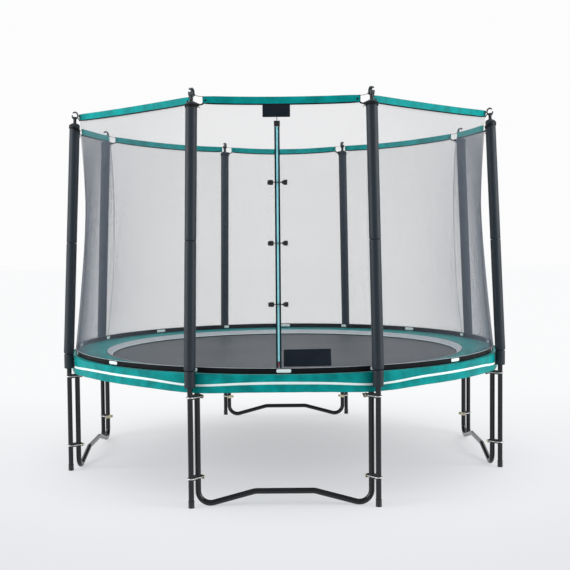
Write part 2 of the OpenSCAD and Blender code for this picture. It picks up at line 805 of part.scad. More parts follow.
// Straps round the sleeves, cords to the straps and hooks, and the short cord above the zip cap
module band_ties() {
    strap_t = lean_len(pole_top_z) - shoulder_r - 2 - tie_h / 2;
    hook_t = lean_len(pole_top_z) + hook_neck_h + ball_h / 2;
    strap_stop = sleeve_rad + tie_t;
    hook_stop = ball_d / 2 + seat;
    color(black) {
        for (i = [0 : 7]) {
            tie_strap(i, strap_t);
            for (s = [-1, 1]) {
                panel = (i + (s + 15) / 2) % 8;
                fall = corner_fall(panel, -s);
                low = band_end(panel, -s, cord_d / 2);
                high = band_end(panel, -s, band_h - cord_d / 2);
                if (fall > 0) {
                    mid = (low + high) / 2;
                    tie_strap(i, lean_len(mid[2]));
                    tie_cord(mid, i, lean_len(mid[2]), strap_stop);
                } else {
                    tie_cord(low, i, fall < 0 ? hook_t : strap_t, fall < 0 ? hook_stop : strap_stop);
                    tie_cord(high, i, hook_t, hook_stop);
                }
            }
        }
        on_door(zip_x, zip_top + cap_h + seat, 2.5)
            cylinder(d = 4, h = door_len - label_h - zip_top - cap_h - 3 * seat);
    }
}

// ============ door: label, zip and buckles
// Door frame: X sideways, Z up along the leaning net, n outwards from the net's face
module on_door(x, s, n) {
    translate([0, -net_bot_r, net_z]) rotate([-door_tilt, 0, 0]) translate([x, -n, s]) children();
}

module door_box(x0, x1, s0, s1, n0, n1) {
    on_door(x0, s0, n1) cube([x1 - x0, n1 - n0, s1 - s0]);
}

// Blank label that follows the net's curve beside the zip's foot
module net_label() {
    deg = 180 / PI / net_bot_r;
    low_v = net_label_up / net_h;
    high_v = (net_label_up + net_label_h) / net_h;
    low = [net_r(0, 0, low_v) + seat, net_z + net_label_up];
    high = [net_r(0, 0, high_v) + seat, net_z + net_label_up + net_label_h];
    rotate([0, 0, (zip_x + tape_half + net_label_gap) * deg - 90])
        rotate_extrude(angle = net_label_w * deg, $fn = 180)
        polygon([low, low + [label_t, 0], high + [label_t, 0], high]);
}

// The label under the band and the one beside the zip's foot
module band_label() {
    color("#2b333b") {
        door_box(label_x - label_w / 2, label_x + label_w / 2,
            door_len - label_h - seat, door_len - seat, seat, seat + label_t);
        net_label();
    }
}

module zip_tape() {
    color(teal) {
        for (s = [-1, 1]) door_box(zip_x + s * (tape_half + teeth_w / 2) / 2 - (tape_half - teeth_w / 2) / 2,
            zip_x + s * (tape_half + teeth_w / 2) / 2 + (tape_half - teeth_w / 2) / 2,
            seat, zip_top - seat, seat, seat + tape_t);
        door_box(zip_x - teeth_w / 2, zip_x + teeth_w / 2, seat, zip_top - seat, seat, seat + teeth_t);
    }
    color(black) door_box(zip_x - cap_w / 2, zip_x + cap_w / 2, zip_top, zip_top + cap_h, seat, seat + cap_t);
}

module zip_slider() {
    lug_x = pull_w / 2 + seat;
    lug_t = 2;
    color(black) {
        door_box(zip_x - slider_w / 2, zip_x + slider_w / 2, slider_s, slider_s + slider_len,
            slider_n, slider_n + slider_t);
        for (s = [-1, 1]) door_box(zip_x + s * (lug_x + lug_t / 2) - lug_t / 2,
            zip_x + s * (lug_x + lug_t / 2) + lug_t / 2,
            pin_up - eye_rad, pin_up + eye_rad, slider_n + slider_t - 0.5, pin_n + eye_rad);
        on_door(zip_x, pin_up, pin_n) rotate([0, 90, 0])
            cylinder(d = pull_pin_d, h = 2 * lug_x + 1, center = true);
    }
}

module zip_pull() {
    color("#8a3b34") difference() {
        union() {
            on_door(zip_x, pin_up, pin_n) rotate([0, 90, 0]) cylinder(r = eye_rad, h = pull_w, center = true);
            door_box(zip_x - pull_w / 2, zip_x + pull_w / 2, pin_up - pull_len, pin_up,
                pin_n - pull_t / 2, pin_n + pull_t / 2);
        }
        on_door(zip_x, pin_up, pin_n) rotate([0, 90, 0])
            cylinder(r = pull_pin_d / 2 + pin_run, h = pull_w + 2, center = true);
    }
}

module buckle_sockets() {
    x1 = tongue_x0 + tongue_in;
    color(black) for (s = buckle_s) difference() {
        door_box(x1 - buckle_len, x1, s - buckle_h / 2, s + buckle_h / 2, seat, buckle_t);
        door_box(tongue_x0 - 1, x1 + 1, s - tongue_h / 2 - seat, s + tongue_h / 2 + seat,
            tongue_n - seat, tongue_n + tongue_t + seat);
    }
}

module buckle_tongue(s) {
    neck = 7;
    color(black) {
        door_box(tongue_x1 + neck, tongue_x1 + neck + buckle_len, s - buckle_h / 2, s + buckle_h / 2,
            seat, buckle_t);
        door_box(tongue_x1, tongue_x1 + neck + 1, s - buckle_h / 3, s + buckle_h / 3, seat, buckle_t);
        door_box(tongue_x0, tongue_x1 + 1, s - tongue_h / 2, s + tongue_h / 2, tongue_n, tongue_n + tongue_t);
    }
}

module buckle_low_tongue() { buckle_tongue(buckle_s[0]); }
module buckle_mid_tongue() { buckle_tongue(buckle_s[1]); }
module buckle_high_tongue() { buckle_tongue(buckle_s[2]); }

leg_front();
leg_right();
leg_back();
leg_left();
leg_uprights();
top_rail();
rail_sockets();
socket_screws();
pole_1();
pole_2();
pole_3();
pole_4();
pole_5();
pole_6();
pole_7();
pole_8();
sleeve_1();
sleeve_2();
sleeve_3();
sleeve_4();
sleeve_5();
sleeve_6();
sleeve_7();
sleeve_8();
pole_hooks();
pole_feet();
clamp_ubolts();
clamp_saddles();
clamp_plates();
clamp_nuts();
clamp_knobs();
mat();
mat_webbing();
mat_rings();
springs();
frame_pad();
pad_border();
pad_skirt();
skirt_stripe();
pad_straps();
net_1();
net_2();
net_3();
net_4();
net_5();
net_6();
net_7();
net_8();
net_hem();
hem_tabs();
top_band();
band_ties();
band_label();
zip_tape();
zip_slider();
zip_pull();
buckle_sockets();
buckle_low_tongue();
buckle_mid_tongue();
buckle_high_tongue();
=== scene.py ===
"""Dresses a packed garden trampoline: steel, foam, netting, covers, springs, mat and zipped door."""

import math

import bmesh
import bpy
from bpy.props import FloatProperty, FloatVectorProperty, IntProperty, PointerProperty
from mathutils import Matrix, Vector, noise


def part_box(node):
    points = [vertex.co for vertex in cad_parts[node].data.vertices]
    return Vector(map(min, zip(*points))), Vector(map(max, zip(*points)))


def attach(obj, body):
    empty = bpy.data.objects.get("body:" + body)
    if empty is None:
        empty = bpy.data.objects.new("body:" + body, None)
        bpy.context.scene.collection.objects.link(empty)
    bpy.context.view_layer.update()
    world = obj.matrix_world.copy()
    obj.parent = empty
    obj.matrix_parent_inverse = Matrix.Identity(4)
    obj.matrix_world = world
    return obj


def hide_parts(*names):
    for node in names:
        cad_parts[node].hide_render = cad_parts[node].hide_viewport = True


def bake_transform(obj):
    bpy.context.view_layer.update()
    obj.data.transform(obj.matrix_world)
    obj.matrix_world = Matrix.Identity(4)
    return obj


bl_info = {
    "name": "Garden Trampoline",
    "version": (1, 0, 0),
    "blender": (4, 5, 0),
    "location": "3D View > Sidebar > Trampoline",
    "description": "Builds the visible parts of a garden trampoline round its steel frame",
    "category": "Object",
}

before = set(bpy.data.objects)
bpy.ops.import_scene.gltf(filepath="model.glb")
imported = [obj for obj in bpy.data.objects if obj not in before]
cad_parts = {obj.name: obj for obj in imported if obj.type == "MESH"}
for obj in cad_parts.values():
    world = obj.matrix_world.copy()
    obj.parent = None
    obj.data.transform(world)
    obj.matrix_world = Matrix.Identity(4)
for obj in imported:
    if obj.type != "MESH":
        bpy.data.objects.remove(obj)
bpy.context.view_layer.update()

FULL_TURN = 2 * math.pi
PANELS = 8
MM = 0.001


def low(node, axis):
    """Lowest value of a CAD node along an axis, 0 to 2."""
    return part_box(node)[0][axis]


def high(node, axis):
    """Highest value of a CAD node along an axis, 0 to 2."""
    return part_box(node)[1][axis]


# ------------------------------------------------------------------ sizes and colours


def length(name, description, default):
    """A length in metres."""
    return FloatProperty(name=name, description=description, default=default, unit="LENGTH", precision=4)


def angle(name, description, degrees):
    """An angle, given in degrees."""
    return FloatProperty(name=name, description=description, default=math.radians(degrees), subtype="ANGLE")


def tint(name, description, red, green, blue):
    """A linear colour."""
    return FloatVectorProperty(
        name=name, description=description, default=(red, green, blue), subtype="COLOR", min=0, max=1
    )


class TrampolineFrame(bpy.types.PropertyGroup):
    """Rail, poles and foam."""

    rail_radius: length("Rail radius", "Radius of the top rail's centreline", 1.506)
    rail_tube: length("Rail tube", "Radius of the rail tube", (high("top_rail", 2) - low("top_rail", 2)) / 2)
    rail_height: length("Rail height", "Height of the rail", (high("top_rail", 2) + low("top_rail", 2)) / 2)
    pole_circle: length("Pole circle", "Radius on which the poles stand", 1.561)
    pole_angle: angle("Pole angle", "Angle of a pole from the middle of its leg", 20.4)
    lean_height: length("Lean height", "Height at which the poles start to lean", 0.8)
    lean: angle("Lean", "Inward lean of the upper poles", 2.5)
    pole_top: length("Pole top", "Height of the pole tube's upper end", 2.352)
    pole_tube: length("Pole tube", "Radius of the pole tube", 0.016)
    sleeve_radius: length("Sleeve radius", "Radius of the foam sleeve", 0.0345)
    cuff_radius: length("Cuff radius", "Radius of the cuff over the skirt", 0.032)
    sleeve_low: length("Sleeve foot", "Height of the sleeve's lower end", low("sleeve_1", 2))
    sleeve_joint: length("Sleeve joint", "Height of the joint between the long sleeves", 1.55)
    foot_height: length("Foot cap", "Height of the foot cap", high("pole_feet", 2))


class TrampolineMat(bpy.types.PropertyGroup):
    """Mat, rings and springs."""

    radius: length("Mat radius", "Radius of the jumping mat", high("mat", 0))
    top: length("Mat top", "Height of the mat's upper face", high("mat", 2))
    thickness: length("Mat thickness", "Thickness of the mat", high("mat", 2) - low("mat", 2))
    sag: length("Sag", "How far the middle hangs below the edge", 0.003)
    webbing_out: length("Webbing radius", "Outer radius of the edge webbing", high("mat_webbing", 0))
    webbing_width: length("Webbing width", "Width of the edge webbing", 0.05)
    spring_count: IntProperty(name="Springs", description="Number of springs", default=64)
    spring_radius: length("Coil radius", "Outer radius of a spring coil", 0.0115)
    spring_wire: length("Spring wire", "Radius of the spring wire", 0.0016)
    spring_turns: IntProperty(name="Coil turns", description="Turns of one spring", default=27)
    ring_radius: length("Ring place", "Radius at which the rings start", 1.323)
    ring_length: length("Ring length", "Radial length of a mat ring", 0.03)
    ring_wire: length("Ring wire", "Radius of the ring wire", 0.0017)


class TrampolineCovers(bpy.types.PropertyGroup):
    """Rim pad, border, skirt and stripe."""

    pad_inner: length("Pad inner radius", "Inner radius of the rim pad", 1.285)
    pad_outer: length("Pad outer radius", "Outer radius of the rim pad", high("frame_pad", 0))
    pad_low: length("Pad underside", "Height of the pad's underside", low("frame_pad", 2))
    pad_rim: length("Pad rim", "Height of the pad's edges", 0.782)
    pad_crown: length("Pad crown", "Rise of the pad between its edges", 0.003)
    border_inner: length("Border radius", "Inner radius of the border", 1.25)
    border_low: length("Border edge", "Height of the border's inner edge", low("pad_border", 2))
    skirt_radius: length("Skirt radius", "Outer radius of the skirt", high("pad_skirt", 0))
    skirt_low: length("Skirt foot", "Height of the skirt's lower edge", low("pad_skirt", 2))
    skirt_top: length("Skirt top", "Height of the skirt's upper edge", high("pad_skirt", 2))
    skirt_slip: length("Skirt slip", "How far the skirt slips down at the poles", 0.024)
    stripe_low: length("Stripe foot", "Height of the stripe's lower edge", low("skirt_stripe", 2) + 0.003)
    stripe_top: length("Stripe top", "Height of the stripe's upper edge", high("skirt_stripe", 2) - 0.0025)


class TrampolineNet(bpy.types.PropertyGroup):
    """Net panels, hem and top band."""

    low_radius: length("Net foot radius", "Radius of the net at its lower edge", 1.503)
    corner_radius: length("Net corner radius", "Radius of the net's upper corners", 1.45)
    foot: length("Net foot", "Height of the net's lower edge", high("net_hem", 2))
    hem_low: length("Hem foot", "Height of the hem's lower edge", low("net_hem", 2))
    hem_thick: length("Hem thickness", "Thickness of the hem's cloth", 0.0024)
    band_low: length("Band foot", "Plain height of the top band's lower edge", 2.338)
    band_top: length("Band top", "Plain height of the top band's upper edge", 2.386)
    band_gap: length("Band gap", "Distance from a band's end to the net's corner", 0.046)
    side_gap: length("Side gap", "The same where a wide band meets the front pole of a side leg", -0.010)
    side_pull: length("Side pull", "How far the front pole of a side leg pulls the net's corner out", 0.008)
    side_fall: length("Side fall", "How much lower a side band is tied at its front end", 0.070)
    side_rise: length("Side rise", "How much higher the bands next to it are tied at that pole", 0.024)
    band_lift: length("Band lift", "How far the bands' ends are pulled up", 0.008)
    band_droops: FloatVectorProperty(
        name="Band droops",
        description="How far the middle of each band hangs, from the door round",
        default=(0.010, 0.004, 0.004, 0.018, 0.024, 0.018, 0.004, 0.004),
        size=8,
        unit="LENGTH",
    )
    mesh_pitch: length("Mesh pitch", "Distance between two threads of the net", 0.003)
    cover: FloatProperty(
        name="Cover", description="Share of the net that is thread", default=0.064, min=0, max=1
    )


class TrampolineDoor(bpy.types.PropertyGroup):
    """Label, zip and buckles."""

    zip_x: length("Zip place", "Sideways place of the zip", -0.028)
    zip_half: length("Zip half width", "Half width over both tapes", 0.0155)
    teeth_half: length("Teeth half width", "Half width of the toothed strip", 0.0054)
    zip_top: length("Zip top", "Upper end of the zip along the door", 1.39775)
    cap_width: length("Cap width", "Width of the moulded zip cap", 0.035)
    cap_height: length("Cap height", "Height of the moulded zip cap", 0.034)
    label_x: length("Label place", "Sideways place of the band label", -0.031)
    label_width: length("Label width", "Width of the band label", 0.161)
    label_height: length("Label height", "Height of the band label", 0.073)
    low_label_x: length("Net label place", "Sideways place of the label on the net", 0.1375)
    low_label_width: length("Net label width", "Width of the label on the net", 0.276)
    pull_pin: length("Pull pin", "Place of the pull's pin along the door", 0.032)
    pin_out: length("Pin distance", "Distance of the pull's pin from the net", 0.0099)
    buckle_low: length("Lowest buckle", "Height of the lowest buckle above the net's foot", 0.364)
    buckle_step: length("Buckle spacing", "Distance between two buckles", 0.353)


class TrampolineColours(bpy.types.PropertyGroup):
    """Linear colours of the finishes."""

    steel: tint("Tube", "Painted tube", 0.008, 0.009, 0.011)
    zinc: tint("Zinc", "Plated springs, rings and screws", 0.62, 0.62, 0.6)
    brass_zinc: tint("Yellow zinc", "Clamp plates and nuts", 0.66, 0.61, 0.44)
    foam: tint("Sleeve", "Foam sleeve cover", 0.012, 0.021, 0.030)
    moulded: tint("Moulded", "Black moulded pieces", 0.008, 0.009, 0.010)
    knob: tint("Knob", "Clamp knobs", 0.035, 0.021, 0.016)
    hook: tint("Hook", "Moulded hook on a pole top", 0.022, 0.030, 0.033)
    mat: tint("Mat", "Woven mat", 0.018, 0.029, 0.038)
    webbing: tint("Webbing", "Webbing, straps and cords", 0.006, 0.0075, 0.009)
    teal: tint("Teal", "Pad, skirt and top band", 0.0, 0.245, 0.24)
    silver: tint("Border", "Inner border of the pad", 0.46, 0.50, 0.54)
    white: tint("White", "Stripe and tabs", 0.78, 0.90, 0.89)
    net: tint("Net", "Net threads", 0.072, 0.090, 0.118)
    tape: tint("Zip tape", "Woven zip tape", 0.0, 0.018, 0.023)
    teeth: tint("Zip teeth", "Zip teeth", 0.30, 0.72, 0.80)
    label: tint("Label", "Blank labels", 0.010, 0.015, 0.022)
    pull: tint("Pull", "Zip pull", 0.15, 0.022, 0.035)
    floor: tint("Floor", "Studio floor", 0.83, 0.84, 0.86)


class TrampolineStudio(bpy.types.PropertyGroup):
    """Camera and light."""

    lens: FloatProperty(name="Focal length", description="Camera focal length in mm", default=57.2)
    camera_x: length("Camera X", "Sideways place of the camera", 0.0279)
    camera_y: length("Camera Y", "Depth of the camera", -6.664)
    camera_z: length("Camera Z", "Height of the camera", 1.5154)
    yaw: angle("Yaw", "Turn of the camera to the left", 0.1855)
    pitch: angle("Pitch", "Downward tilt of the camera", 2.4552)
    roll: angle("Roll", "Roll of the camera", -0.5197)
    sky: FloatProperty(name="Surroundings", description="Brightness of the surroundings", default=1.0)
    front: FloatProperty(
        name="Front", description="Brightness of the surroundings behind the camera", default=0.34
    )
    overhead: FloatProperty(
        name="Overhead lamp", description="Power of the overhead lamp in watts", default=70.0
    )
    side: FloatProperty(
        name="Side lamps", description="Power of each of the two side lamps in watts", default=330.0
    )


# ------------------------------------------------------------------ places


def turn(azimuth):
    """Turn round the trampoline's axis."""
    return Matrix.Rotation(azimuth, 4, "Z")


def round_steps(count, shift=0.5):
    """Equal turns round the trampoline's axis, shifted by a share of one step."""
    return [turn(FULL_TURN * (k + shift) / count) for k in range(count)]


def polar(radius, azimuth, height):
    """Point at an azimuth that turns from the door at -Y towards +X."""
    return Vector((radius * math.sin(azimuth), -radius * math.cos(azimuth), height))


def panel_azimuth(index):
    """Azimuth of a net panel's middle."""
    return index * FULL_TURN / PANELS


def panel_half(index):
    """Half the angle that a net panel spans: wide and narrow panels take turns."""
    pole_angle = bpy.context.scene.trampoline_frame.pole_angle
    return pole_angle if index % 2 == 0 else FULL_TURN / PANELS - pole_angle


def pole_azimuth(index):
    """Azimuth of a pole, numbered as the CAD's are."""
    side = -1 if index % 2 == 0 else 1
    return (index // 2) * FULL_TURN / 4 + side * bpy.context.scene.trampoline_frame.pole_angle


def pole_frame(index):
    """Foot of a pole, with -Y outwards."""
    sizes = bpy.context.scene.trampoline_frame
    return turn(pole_azimuth(index)) @ Matrix.Translation((0, -sizes.pole_circle, 0))


def lean_frame(index):
    """Start of a pole's leaning part, with +Z up its axis."""
    sizes = bpy.context.scene.trampoline_frame
    start = pole_frame(index) @ Matrix.Translation((0, 0, sizes.lean_height))
    return start @ Matrix.Rotation(-sizes.lean, 4, "X")


def along_lean(height):
    """Distance up the leaning axis of a height above the ground."""
    sizes = bpy.context.scene.trampoline_frame
    return (height - sizes.lean_height) / math.cos(sizes.lean)


def band_distance(index):
    """Distance of a band from the trampoline's axis."""
    return bpy.context.scene.trampoline_net.corner_radius * math.cos(panel_half(index))


def corner_fall(index, side):
    """How much lower a band is tied at one end: only the front poles of the side legs differ."""
    sizes = bpy.context.scene.trampoline_net
    if index == 4 + 2 * side:
        return sizes.side_fall
    return -sizes.side_rise if index == 4 - 3 * side else 0


def band_reach(index, side):
    """Sideways place of a band's end, side being -1 or 1."""
    sizes = bpy.context.scene.trampoline_net
    gap = sizes.side_gap if corner_fall(index, side) < 0 else sizes.band_gap
    return side * (sizes.corner_radius * math.sin(panel_half(index)) - gap)


def band_fall(index, x):
    """How far a band hangs below its plain height at a sideways place x."""
    sizes = bpy.context.scene.trampoline_net
    share = x / (sizes.corner_radius * math.sin(panel_half(index)))
    ties = (corner_fall(index, -1) * (1 - share) + corner_fall(index, 1) * (1 + share)) / 2
    return ties - sizes.band_lift + sizes.band_droops[index] * (1 - share * share)


def corner_pull(index, x):
    """How far a band stands out where it is tied to the front pole of a side leg."""
    sizes = bpy.context.scene.trampoline_net
    corner = sizes.corner_radius * math.sin(panel_half(index))
    sides = [side for side in (-1, 1) if corner_fall(index, side)]
    near = [max(0, 1 - (corner - side * x) / 0.35) for side in sides]
    return sizes.side_pull * min(1, sum(near)) ** 2


def net_radius(index, azimuth, v):
    """Radius of a panel's outer face at an azimuth from its middle, v from 0 at the foot to 1 at the band."""
    sizes = bpy.context.scene.trampoline_net
    top = sizes.corner_radius * math.cos(panel_half(index)) / math.cos(azimuth)
    middle = (sizes.low_radius + band_distance(0)) / 2
    bow = (sizes.low_radius + top) / 2 - middle
    return sizes.low_radius + (top - sizes.low_radius) * v - bow * 4 * v * (1 - v)


def door_tilt():
    """Inward tilt of the door panel."""
    sizes = bpy.context.scene.trampoline_net
    return math.atan2(sizes.low_radius - band_distance(0), sizes.band_low - sizes.foot)


def door_length():
    """Length of the door panel from its foot to the band."""
    sizes = bpy.context.scene.trampoline_net
    return math.hypot(sizes.low_radius - band_distance(0), sizes.band_low - sizes.foot)


def door_frame():
    """Door panel's foot: X sideways, Z up along the net, -Y outwards."""
    sizes = bpy.context.scene.trampoline_net
    return Matrix.Translation((0, -sizes.low_radius, sizes.foot)) @ Matrix.Rotation(-door_tilt(), 4, "X")


def ripple(x, y, seed):
    """Smooth noise from -1 to 1, the same in each run."""
    return noise.noise(Vector((x, y, seed)))


def ring_noise(azimuth, waves, height, seed):
    """Smooth noise round the trampoline that joins up after one turn."""
    return noise.noise(Vector((waves * math.cos(azimuth), waves * math.sin(azimuth), height + seed)))


# ------------------------------------------------------------------ mesh makers


def finish_mesh(name, bm, materials, sharp=40):
    """Turns a bmesh into a smooth object whose place is in its mesh."""
    mesh = bpy.data.meshes.new(name)
    bm.to_mesh(mesh)
    bm.free()
    for material in materials:
        mesh.materials.append(material)
    mesh.polygons.foreach_set("use_smooth", [True] * len(mesh.polygons))
    mesh.set_sharp_from_angle(angle=math.radians(sharp))
    piece = bpy.data.objects.new(name, mesh)
    bpy.context.scene.collection.objects.link(piece)
    return piece


def add_piece(name, bm, materials, body, nodes=(), sharp=40):
    """Adds a finished piece that rides on a body and stands for CAD nodes."""
    piece = finish_mesh(name, bm, materials, sharp)
    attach(piece, body)
    if nodes:
        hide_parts(*nodes)
    return piece


def thicken(piece, thickness, offset=-1):
    """Gives a sheet its thickness, inwards unless offset says otherwise."""
    wall = piece.modifiers.new("Thickness", "SOLIDIFY")
    wall.thickness = thickness
    wall.offset = offset
    wall.use_even_offset = False


def put(bm, part, matrices=(Matrix(),), material=0):
    """Adds a copy of a part at each matrix, with a material slot number, and frees the part."""
    for face in part.faces:
        face.material_index = material
    mesh = bpy.data.meshes.new("part")
    part.to_mesh(mesh)
    part.free()
    for matrix in matrices:
        copy = mesh.copy()
        copy.transform(matrix)
        if matrix.determinant() < 0:
            copy.flip_normals()
        bm.from_mesh(copy)
        bpy.data.meshes.remove(copy)
    bpy.data.meshes.remove(mesh)


def round_edges(part, edges, offset, segments=2):
    """Rounds the given edges."""
    bmesh.ops.bevel(
        part,
        geom=edges,
        offset=offset,
        segments=segments,
        profile=0.5,
        affect="EDGES",
        clamp_overlap=True,
        material=-1,
    )


def sharp_edges(part, degrees):
    """Edges whose two faces meet at more than an angle."""
    limit = math.radians(degrees)
    return [edge for edge in part.edges if edge.is_manifold and edge.calc_face_angle(0) > limit]


def new_verts(grown):
    """Vertices that an extrusion made."""
    return [item for item in grown["geom"] if isinstance(item, bmesh.types.BMVert)]


def prism(outline, x0, x1):
    """Bar along X with an outline of (y, z) points."""
    part = bmesh.new()
    face = part.faces.new([part.verts.new((x0, y, z)) for y, z in outline])
    grown = bmesh.ops.extrude_face_region(part, geom=[face])
    bmesh.ops.translate(part, verts=new_verts(grown), vec=(x1 - x0, 0, 0))
    bmesh.ops.recalc_face_normals(part, faces=part.faces)
    return part


def block(size, centre, bevel=0.001, segments=2):
    """Box with rounded edges."""
    part = bmesh.new()
    place = Matrix.Translation(centre) @ Matrix.Diagonal((*size, 1))
    bmesh.ops.create_cube(part, size=1, matrix=place)
    round_edges(part, part.edges[:], bevel, segments)
    return part


def span(x0, x1, y0, y1, z0, z1, bevel=0.001, segments=2):
    """Box with rounded edges between two corners."""
    size = (x1 - x0, y1 - y0, z1 - z0)
    centre = ((x0 + x1) / 2, (y0 + y1) / 2, (z0 + z1) / 2)
    return block(size, centre, bevel, segments)


def turned(profile, steps=40, closed=True):
    """Spins a profile of (radius, height) points once round Z."""
    part = bmesh.new()
    verts = [part.verts.new((radius, 0, height)) for radius, height in profile]
    pairs = list(zip(verts, verts[1:]))
    if closed:
        pairs.append((verts[-1], verts[0]))
    edges = [part.edges.new(pair) for pair in pairs]
    bmesh.ops.spin(
        part, geom=verts + edges, cent=(0, 0, 0), axis=(0, 0, 1), angle=FULL_TURN, steps=steps, use_merge=True
    )
    bmesh.ops.remove_doubles(part, verts=part.verts, dist=1e-6)
    bmesh.ops.recalc_face_normals(part, faces=part.faces)
    return part


def round_end(x, z, radius, start, end, steps=4):
    """Points of an arc from one angle to another, in degrees."""
    angles = [math.radians(start + (end - start) * k / steps) for k in range(steps + 1)]
    return [(x + radius * math.cos(a), z + radius * math.sin(a)) for a in angles]


def wire(points, radius, resolution=1, closed=False):
    """Round wire along a list of points."""
    curve = bpy.data.curves.new("wire", "CURVE")
    curve.dimensions = "3D"
    curve.bevel_depth = radius
    curve.bevel_resolution = resolution
    curve.use_fill_caps = True
    line = curve.splines.new("POLY")
    line.points.add(len(points) - 1)
    for slot, point in zip(line.points, points):
        slot.co = (*point, 1)
    line.use_cyclic_u = closed
    holder = bpy.data.objects.new("wire", curve)
    mesh = bpy.data.meshes.new_from_object(holder)
    part = bmesh.new()
    part.from_mesh(mesh)
    bpy.data.meshes.remove(mesh)
    bpy.data.objects.remove(holder)
    bpy.data.curves.remove(curve)
    bmesh.ops.remove_doubles(part, verts=part.verts, dist=1e-7)
    bmesh.ops.recalc_face_normals(part, faces=part.faces)
    return part


def cloth(columns, rows, place, width, height):
    """Grid put in place by place(u, v), u and v from 0 to 1, with a UV map in metres."""
    part = bmesh.new()
    uv = part.loops.layers.uv.new("Weave")
    bmesh.ops.create_grid(part, x_segments=columns, y_segments=rows, size=0.5)
    for face in part.faces:
        for loop in face.loops:
            loop[uv].uv = ((loop.vert.co.x + 0.5) * width, (loop.vert.co.y + 0.5) * height)
    for vert in part.verts:
        vert.co = place(vert.co.x + 0.5, vert.co.y + 0.5)
    bmesh.ops.remove_doubles(part, verts=part.verts, dist=2e-5)
    return part


def crowded(u, count, strength=0.85):
    """Moves the columns of a grid towards count evenly spaced seams."""
    return u - strength * math.sin(FULL_TURN * count * u) / (FULL_TURN * count)


def seam_depth(u, count, width):
    """1 in the middle of the nearest of count seams, falling to 0 at width, a share of the turn."""
    distance = abs((u * count + 0.5) % 1 - 0.5) / count
    return max(0, 1 - distance / width) ** 2


# ------------------------------------------------------------------ finishes


def node(tree, kind, **values):
    """Adds a shader node and sets its properties."""
    made = tree.nodes.new(kind)
    for name, value in values.items():
        setattr(made, name, value)
    return made


def surface(name, colour, roughness, **sockets):
    """Empty material with its main shader set, as (material, tree, shader)."""
    material = bpy.data.materials.new(name)
    material.use_nodes = True
    tree = material.node_tree
    shader = tree.nodes["Principled BSDF"]
    shader.inputs["Base Color"].default_value = (*colour, 1)
    shader.inputs["Roughness"].default_value = roughness
    for socket, value in sockets.items():
        shader.inputs[socket].default_value = value
    material.diffuse_color = (*colour, 1)
    return material, tree, shader


def coordinates(tree, uv):
    """Coordinates that stay with the piece: its weave map, or its own space."""
    if uv:
        return node(tree, "ShaderNodeUVMap", uv_map="Weave").outputs["UV"]
    return node(tree, "ShaderNodeTexCoord").outputs["Object"]


def mottle(tree, vector, scale, detail=3.0):
    """Noise from 0 to 1."""
    made = node(tree, "ShaderNodeTexNoise")
    made.inputs["Scale"].default_value = scale
    made.inputs["Detail"].default_value = detail
    tree.links.new(vector, made.inputs["Vector"])
    return made.outputs["Fac"]


def blend_colours(tree, factor, first, second):
    """Blends two colours by a factor from 0 to 1."""
    mix = node(tree, "ShaderNodeMix", data_type="RGBA")
    mix.inputs["A"].default_value = (*first, 1)
    mix.inputs["B"].default_value = (*second, 1)
    tree.links.new(factor, mix.inputs["Factor"])
    return mix.outputs["Result"]


def map_range(tree, value, source, target, smooth=False):
    """Maps a value from one range to another."""
    reach = node(tree, "ShaderNodeMapRange", interpolation_type="SMOOTHSTEP" if smooth else "LINEAR")
    for socket, limit in zip(("From Min", "From Max", "To Min", "To Max"), (*source, *target)):
        reach.inputs[socket].default_value = limit
    tree.links.new(value, reach.inputs["Value"])
    return reach.outputs["Result"]


def depth_of(tree, vector):
    """Y of a vector."""
    split = node(tree, "ShaderNodeSeparateXYZ")
    tree.links.new(vector, split.inputs["Vector"])
    return split.outputs["Y"]


def shade(tree, shader, factor, colour, spread):
    """Varies the base colour round its middle by a share."""
    dark = [c * (1 - spread) for c in colour]
    light = [min(1, c * (1 + spread)) for c in colour]
    tree.links.new(blend_colours(tree, factor, dark, light), shader.inputs["Base Color"])


def gloss(tree, shader, factor, least, most):
    """Varies the roughness between two values."""
    tree.links.new(map_range(tree, factor, (0, 1), (least, most)), shader.inputs["Roughness"])


def relief(tree, shader, height, distance, strength):
    """Raises the surface by a height pattern."""
    bump = node(tree, "ShaderNodeBump")
    bump.inputs["Distance"].default_value = distance
    bump.inputs["Strength"].default_value = strength
    tree.links.new(height, bump.inputs["Height"])
    tree.links.new(bump.outputs["Normal"], shader.inputs["Normal"])


def math_node(tree, operation, first, second):
    """Joins two sockets or numbers by an operation."""
    made = node(tree, "ShaderNodeMath", operation=operation)
    for socket, value in zip(made.inputs, (first, second)):
        if isinstance(value, (int, float)):
            socket.default_value = value
        else:
            tree.links.new(value, socket)
    return made.outputs["Value"]


def threads(tree, vector, pitch, direction):
    """Parallel threads as a wave from 0 to 1."""
    wave = node(tree, "ShaderNodeTexWave", wave_type="BANDS", bands_direction=direction)
    wave.inputs["Scale"].default_value = FULL_TURN / 20 / pitch
    tree.links.new(vector, wave.inputs["Vector"])
    return wave.outputs["Fac"]


def weave(tree, vector, pitch):
    """Plain weave of two crossing sets of threads."""
    return math_node(tree, "MAXIMUM", threads(tree, vector, pitch, "X"), threads(tree, vector, pitch, "Y"))


def painted_steel(name, colour):
    """Gloss powder coat with a faint orange peel and rubbed patches."""
    coat = {"Coat Weight": 0.6, "Coat Roughness": 0.06, "Specular IOR Level": 0.1}
    material, tree, shader = surface(name, colour, 0.25, **coat)
    vector = coordinates(tree, False)
    broad = mottle(tree, vector, 9)
    shade(tree, shader, broad, colour, 0.25)
    gloss(tree, shader, broad, 0.16, 0.3)
    relief(tree, shader, mottle(tree, vector, 420, 2), 0.00006, 0.3)
    return material


